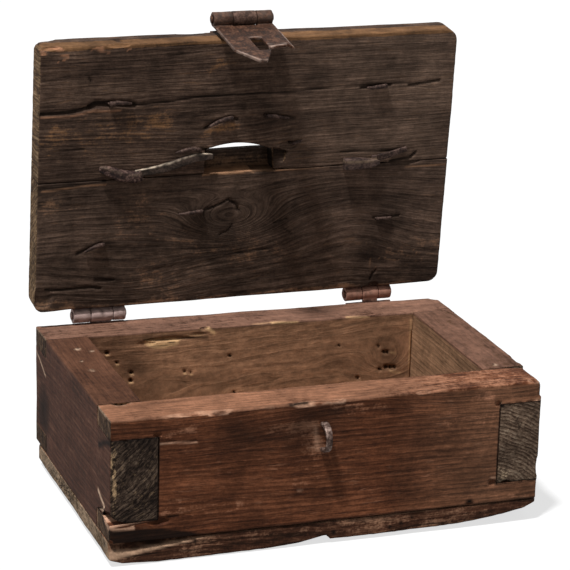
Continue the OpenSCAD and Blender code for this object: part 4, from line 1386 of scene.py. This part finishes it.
def clinched(u, v, head, tail, radius=1.25):
    """A nail from its head down through the lid, and the bent path of its tail inside."""
    y = LID_ZERO - v
    shank = driven(nail(head - LID_IN + 1.2, 4.4, 1.7), (u, y, head), (0, 0, -1))
    level = LID_IN - radius * 0.85
    path = [(u, y, level)] + [(a, LID_ZERO - b, level - c) for a, b, c in tail]
    thin = (2.2 * radius, 2.2 * radius, 1.8 * radius, 1.2 * radius)
    return [shank, bar(path, thin, thin, radius * 0.9, (0, 0, 1), step=0.9)]


def short_nail(u, y, head):
    return driven(nail(13.6, 4.4, 1.7), (u, y, head), (0, 0, -1))


# Heads lie on the straps. A tail is the places that it runs through: across, up, off the wood
OUT = LID_OUT + SHEET
tail = [(-109, 45.6, 0.2), (-114, 43.6, 0.5), (-118.5, 41.2, 0.2)]
left_nails = clinched(-103.9, 46.4, OUT, tail, 1.3)
tail = [(-98, 149.6, 0.3), (-92, 149.2, 0.5), (-87.5, 148.4, 0.0)]
left_nails += clinched(-103.9, 149.0, OUT, tail, 1.5)
left_nails.append(short_nail(-105, -29.2, OUT))
forged("left_strap_nails", left_nails, nail_iron, "left_strap_nails", "lid", OPEN, dents=0.1)
tail = [(102, 51.0, 0.1), (106, 51.2, 0.2), (110, 51.6, 0.0)]
right_nails = clinched(97.9, 51.2, OUT, tail, 1.1)
tail = [(94, 151.2, 0.3), (88, 150.6, 0.4), (83.5, 150.8, 0.0)]
right_nails += clinched(99.0, 151.6, OUT, tail, 1.5)
right_nails.append(short_nail(97.5, -29.2, OUT))
forged("right_strap_nails", right_nails, nail_iron, "right_strap_nails", "lid", OPEN, dents=0.1)
tail = [(-40, 65.6, 0.4), (-46, 65.2, 0.5), (-51.5, 64.8, 0.1)]
loose = clinched(-33.0, 66.0, LID_OUT, tail, 1.35)
tail = [(-41, 113.2, 1.0), (-46, 113.2, 1.0), (-55.5, 110.6, 0.2)]
loose += clinched(-36.6, 111.6, LID_OUT, tail, 1.4)
loose += clinched(29.9, 112.0, LID_OUT, [(33, 113.0, 0.2), (38, 114.6, 0.1)], 1.2)
forged("lid_nails", loose, nail_iron, "lid_nails", "lid", OPEN, dents=0.1)

# Split pins
# Two forged pins through the straps and the lid. Inside, their ends are bent apart: a thick one
# and a thin flat one. The left one's thin end is a long bar that has lifted a little.
# Scaly and mottled, smoother and purple-brown, and nearly black; the first two with a faint painted
# highlight along their upper side, the third with a bright painted highlight along its upper edge
rusts = ("#1a1211", "#3a2a26", "#715a51", "#998270")
lump_iron = rust("Pin iron, flaking red-brown rust", *rusts, relief=1.0)
rusts = ("#241a18", "#43342f", "#5e4b43", "#b79c80")
block_iron = rust("Pin iron, purple-brown rust", *rusts, relief=0.5)
thin_iron = rust("Pin iron, dark with a painted highlight on one edge", "#1f1915", "#352b25", "#50423a", "#cdbaa4")
for side, u, v in (("left", -99.94, 99.0), ("right", 95.08, 97.48)):
    y = LID_ZERO - v
    head = driven(nail(2.0, 7.9, 3.0, 3.6), (u, y, OUT), (0, 0, -1))
    shank = block((u - 3.9, y - 2.4, LID_IN - 1.5), (u + 3.9, y + 2.4, LID_OUT + 2.6), 0.5)
    if side == "left":
        lump = [(-110.0, 102.4), (-103.6, 100.8), (-94, 96.8), (-85.4, 95.2), (-78.6, 95.8)]
        lump = [(a, LID_ZERO - b, LID_IN - 2.1) for a, b in lump]
        thick = bar(lump, (4.5, 8.0, 8.8, 8.8, 8.4), (3.8, 6.0, 6.6, 6.4, 5.8), 1.8, (0, 0, 1))
        thin = [(-84, 97.4), (-76, 98.4), (-66, 99.7), (-58, 101.6), (-50, 104.2), (-41, 106.6)]
        thin = [(a, LID_ZERO - b, LID_IN - 1.7) for a, b in thin + [(-35, 106.8), (-27.9, 106.8)]]
        leg = bar(thin, (5.0, 5.4, 6.2, 6.8, 7.0, 6.0, 3.6), 2.5, 0.7, (0, 0, 1))
    else:
        lump = [(69.4, 95.0), (78, 94.8), (88, 94.6), (93, 94.8), (97.2, 95.2)]
        lump = [(a, LID_ZERO - b, LID_IN - 2.3) for a, b in lump]
        thick = bar(lump, (8.6, 9.2, 8.2, 6.6, 3.0), (5.8, 6.2, 6.2, 5.6, 3.0), 1.4, (0, 0, 1))
        thin = [(95, 98.4, -1.5), (101, 99.0, -1.6), (107, 100.6, -1.5), (113, 102.4, -1.3)]
        thin += [(117.5, 103.4, -1.2)]
        thin = [(a, LID_ZERO - b, LID_IN + c) for a, b, c in thin]
        leg = bar(thin, (4.6, 5.0, 4.6, 4.2, 4.0), 2.2, 0.8, (0, 0, 1))
    name = side + "_split_pin"
    # A faint painted highlight along the upper side of each pin's thick end
    highlit_crest = [(a, b - 2.2) for a, b, _ in lump]
    forged(
        name,
        [head, shank, thick],
        lump_iron if side == "left" else block_iron,
        name,
        "lid",
        OPEN,
        dents=0.5 if side == "left" else 0.28,
        rubbed=lambda p, highlit_crest=highlit_crest: 0.4 * near(off_line(p, 0, 1, highlit_crest), 1.6) * (p[:, 2] < LID_IN),
    )
    # A painted highlight along the upper edge of the left pin's thin end; none on the right
    strong = 1.0 if side == "left" else 0.0
    highlit_ridge = [(a, b - c) for (a, b, _), c in zip(thin, np.linspace(2.7, 2.5, len(thin)))]
    forged(
        name + "_leg",
        [leg],
        thin_iron if side == "left" else nail_iron,
        name,
        "lid",
        OPEN,
        dents=0.16,
        rubbed=lambda p, highlit_ridge=highlit_ridge, strong=strong: strong * near(off_line(p, 0, 1, highlit_ridge), 0.9),
    )

# Hasp and its strap
# A pointed iron plate with a slot for the staple, torn at its lower right corner, hinged to a
# strap that is nailed on the lid's outer face.
HASP_S, HASP_N, HASP_X, HASP_HALF = 209.0, 11.7, -5.5, 21.5
HANG = OPEN @ Matrix.Translation((HASP_X, -HASP_S, HASP_N)) @ Matrix.Rotation(radians(3.3), 4, "X")
# Brown and orange in patches, deeply pitted
rusts = ("#22150e", "#382217", "#5e4131", "#a58e81")
hasp_iron = rust("Hasp iron, brown and orange rust", *rusts, relief=0.8)

# The strap's knuckle sits between the plate's two, a little right of the middle
mid, half = 0.989, 8.55
knuckle_x = HASP_X + mid
under, over = LID_OUT + 0.05, LID_OUT + 2.35
neck_low, neck_high = knuckle_x - half + 0.1, knuckle_x + half - 0.1
strap_parts = [
    rolled(knuckle(-half, half), (knuckle_x, -HASP_S, HASP_N)),
    block((neck_low, -HASP_S, under), (neck_high, -198.0, over), 0.5),
    block((HASP_X - 21.4, -199.4, under), (HASP_X + 21.4, -131.6, over), 0.6, 2.0),
]
forged("hasp_strap", strap_parts, strap_iron, "hasp_strap", "lid", OPEN, dents=0.12)
tail = [(-20, 133.4, 0.3), (-26, 131.4, 0.4), (-32, 128.2, 0.1)]
hasp_nails = clinched(HASP_X - 8.6, 134.0, OUT, tail, 1.5)
tail = [(16, 133.6, 0.3), (22, 132.4, 0.3), (27, 131.6, 0.0)]
hasp_nails += clinched(HASP_X + 15.5, 134.0, OUT, tail, 1.4)
for u in (HASP_X - 12.04, HASP_X + 12.04):
    hasp_nails.append(short_nail(u, -185.5, OUT))
forged("hasp_strap_nails", hasp_nails, nail_iron, "hasp_strap_nails", "lid", OPEN, dents=0.1)
pin = rolled(peened(HASP_HALF), (HASP_X, -HASP_S, HASP_N))
forged("hasp_pin", [pin], hasp_iron, "hasp_pin", "lid", OPEN, dents=0.03)

# The plate hangs from the pin's middle: across, down. Its top has a notch for that knuckle
plate = bmesh.new()
gap = half + KNUCKLE_GAP
outline = [
    (-21.4, 0), (-21.5, -30), (-21.3, -50.5), (-20.2, -53), (-10.5, -71.2), (-9, -72.4), (-5.4, -72.8),
    (-4.2, -71.6), (1.4, -60), (3.6, -55.2), (4.6, -49.4), (9, -47.8), (16.8, -47.2), (18.4, -44.6),
    (19.8, -48), (21.3, -52.2), (21.5, -30), (21.4, 0), (mid + gap, 0), (mid + gap, -5.8),
    (mid - gap, -5.8), (mid - gap, 0),
]
hole = [(-4.2, -30.2), (4.2, -30.2), (4.2, -49.2), (2.6, -52.8), (-4.2, -53.0)]
rims = []
for loop in (outline, hole):
    corners = [plate.verts.new((x, 2.85, z)) for x, z in loop]
    rims += [plate.edges.new(pair) for pair in zip(corners, corners[1:] + corners[:1])]
bmesh.ops.triangle_fill(plate, edges=rims, use_beauty=True, use_dissolve=True)
grown = bmesh.ops.extrude_face_region(plate, geom=plate.faces[:])
raised = [v for v in grown["geom"] if isinstance(v, bmesh.types.BMVert)]
bmesh.ops.translate(plate, vec=(0, 2.3, 0), verts=raised)
bmesh.ops.recalc_face_normals(plate, faces=plate.faces)
sharp = [e for e in plate.edges if e.is_manifold and e.calc_face_angle() > 0.5]
bmesh.ops.bevel(plate, geom=sharp, offset=0.45, segments=2, profile=0.5, material=-1, affect="EDGES")
# Rows across and down it, for its dents
for axis, stops in ((0, range(-20, 21, 2)), (2, range(-71, 0, 2))):
    across = Vector((0, 0, 0))
    across[axis] = 1
    for stop in stops:
        everything = plate.verts[:] + plate.edges[:] + plate.faces[:]
        bmesh.ops.bisect_plane(
            plate, geom=everything, dist=1e-4, plane_co=across * stop, plane_no=across
        )
plate_parts = [plate]
for start, end in ((-HASP_HALF, mid - gap), (mid + gap, HASP_HALF)):
    plate_parts.append(rolled(knuckle(start, end), (0, 0, 0)))
# The torn edge, curled outwards
curl = [(4.6, 3.6, -49.2), (9, 2.9, -48.6), (13.5, 2.8, -48.2), (17, 3.2, -47.8)]
plate_parts.append(bar(curl, (2.2, 3.4, 3.4, 2.0), 2.0, 0.7, (0, 1, 0), step=0.9))


def hasp_highlights_and_wear(points):
    """Painted highlights where the light catches its edges, the lip of its slot and the torn, rolled
    end; its knuckles a little lighter.
    """
    edges = [
        ([(-21.2, -8), (-21.2, -50)], 0.7, 0.4),
        ([(-20.4, -52.4), (-9.4, -71.6)], 1.1, 0.9),
        ([(-9, -72), (-4.6, -71.8)], 1.2, 0.6),
        ([(21.2, -18), (21.2, -51.5)], 0.9, 0.9),
        ([(4.8, -48.8), (9, -47.4), (17, -46.8)], 2.2, 1.0),
        ([(-4.4, -29.4), (0, -28.6), (4.2, -29.6)], 1.2, 0.6),
        ([(5, -43), (12, -44.6), (18, -43)], 0.8, 0.5),
    ]
    knuckles = 0.14 * (points[:, 2] > -5.4)
    return most(knuckles, drawn(points, 0, 2, edges, 0.6))


forged(
    "hasp_plate", plate_parts, hasp_iron, "hasp_plate", "hasp", HANG, dents=0.22, rubbed=hasp_highlights_and_wear
)

# Floor, backdrop, light and camera
# A plain white floor in a white room, a high soft key light from the left front, and the camera
# of the photograph: a long lens, a little above the rim.
bpy.context.scene.view_settings.view_transform = "Standard"
floor = bpy.data.meshes.new("floor")
bm = bmesh.new()
bmesh.ops.create_grid(bm, x_segments=1, y_segments=1, size=6)
bm.to_mesh(floor)
bm.free()
floor = bpy.data.objects.new("floor", floor)
floor.location = (0, 0, -0.0002)
bpy.context.collection.objects.link(floor)
# White to the camera, but grey to the light, so that it throws little of it up at the box
paper = bpy.data.materials.new("White paper")
paper.use_nodes = True
tree = paper.node_tree
tree.nodes.clear()
seen = put(tree, "LightPath", {}, "Is Camera Ray")
pale = put(tree, "MapRange", {0: seen, 3: 0.4, 4: 0.85})
matt = put(tree, "BsdfDiffuse", {0: put(tree, "CombineColor", {0: pale, 1: pale, 2: pale})})
glow = put(tree, "Emission", {"Color": (1, 1, 1, 1), "Strength": 1.0})
part = put(tree, "Math", {"operation": "MULTIPLY", 0: seen, 1: 0.7})
put(tree, "OutputMaterial", {"Surface": put(tree, "MixShader", {0: part, 1: matt, 2: glow})})
floor.data.materials.append(paper)

# White to the camera and in reflections, a quarter as bright where it lights the box
world = bpy.data.worlds.new("Studio")
bpy.context.scene.world = world
world.use_nodes = True
tree = world.node_tree
tree.nodes.clear()
shown = 0.0
for ray in ("Is Camera Ray", "Is Glossy Ray", "Is Transmission Ray"):
    ray = put(tree, "LightPath", {}, ray)
    shown = put(tree, "Math", {"operation": "MAXIMUM", 0: ray, 1: shown})
strength = put(tree, "MapRange", {0: shown, 3: 0.25, 4: 1.0})
sky = put(tree, "Background", {"Color": (1, 1, 1, 1), "Strength": strength})
put(tree, "OutputWorld", {"Surface": sky})

key = bpy.data.objects.new("key", bpy.data.lights.new("key", "SUN"))
key.data.energy = 4.15
key.data.angle = radians(6)
key.rotation_euler = Vector((-20, -15, 61)).to_track_quat("Z", "Y").to_euler()
bpy.context.collection.objects.link(key)

# Fitted to the box's edges in the photograph, which is 570 pixels wide
AZIMUTH, ELEVATION, ROLL = radians(-19.5784), radians(17.5186), radians(1.6133)
DISTANCE, AIM = 1763.43, Vector((-1.49, 0, 150.841))
PICTURE_PX, FOCAL_PX, SENSOR = 570, 2600.0, 36
behind = Vector(
    (sin(AZIMUTH) * cos(ELEVATION), -cos(AZIMUTH) * cos(ELEVATION), sin(ELEVATION))
)
level = Vector((cos(AZIMUTH), sin(AZIMUTH), 0))
above = behind.cross(level)
sideways = level * cos(ROLL) + above * sin(ROLL)
upright = above * cos(ROLL) - level * sin(ROLL)
camera = bpy.data.objects.new("camera", bpy.data.cameras.new("camera"))
camera.data.lens = FOCAL_PX / PICTURE_PX * SENSOR
camera.data.sensor_width = SENSOR
camera.data.clip_end = 50
turned = Matrix((sideways, upright, behind)).transposed().to_4x4()
camera.matrix_world = Matrix.Translation((AIM + behind * DISTANCE) * MM) @ turned
bpy.context.collection.objects.link(camera)
bpy.context.scene.camera = camera
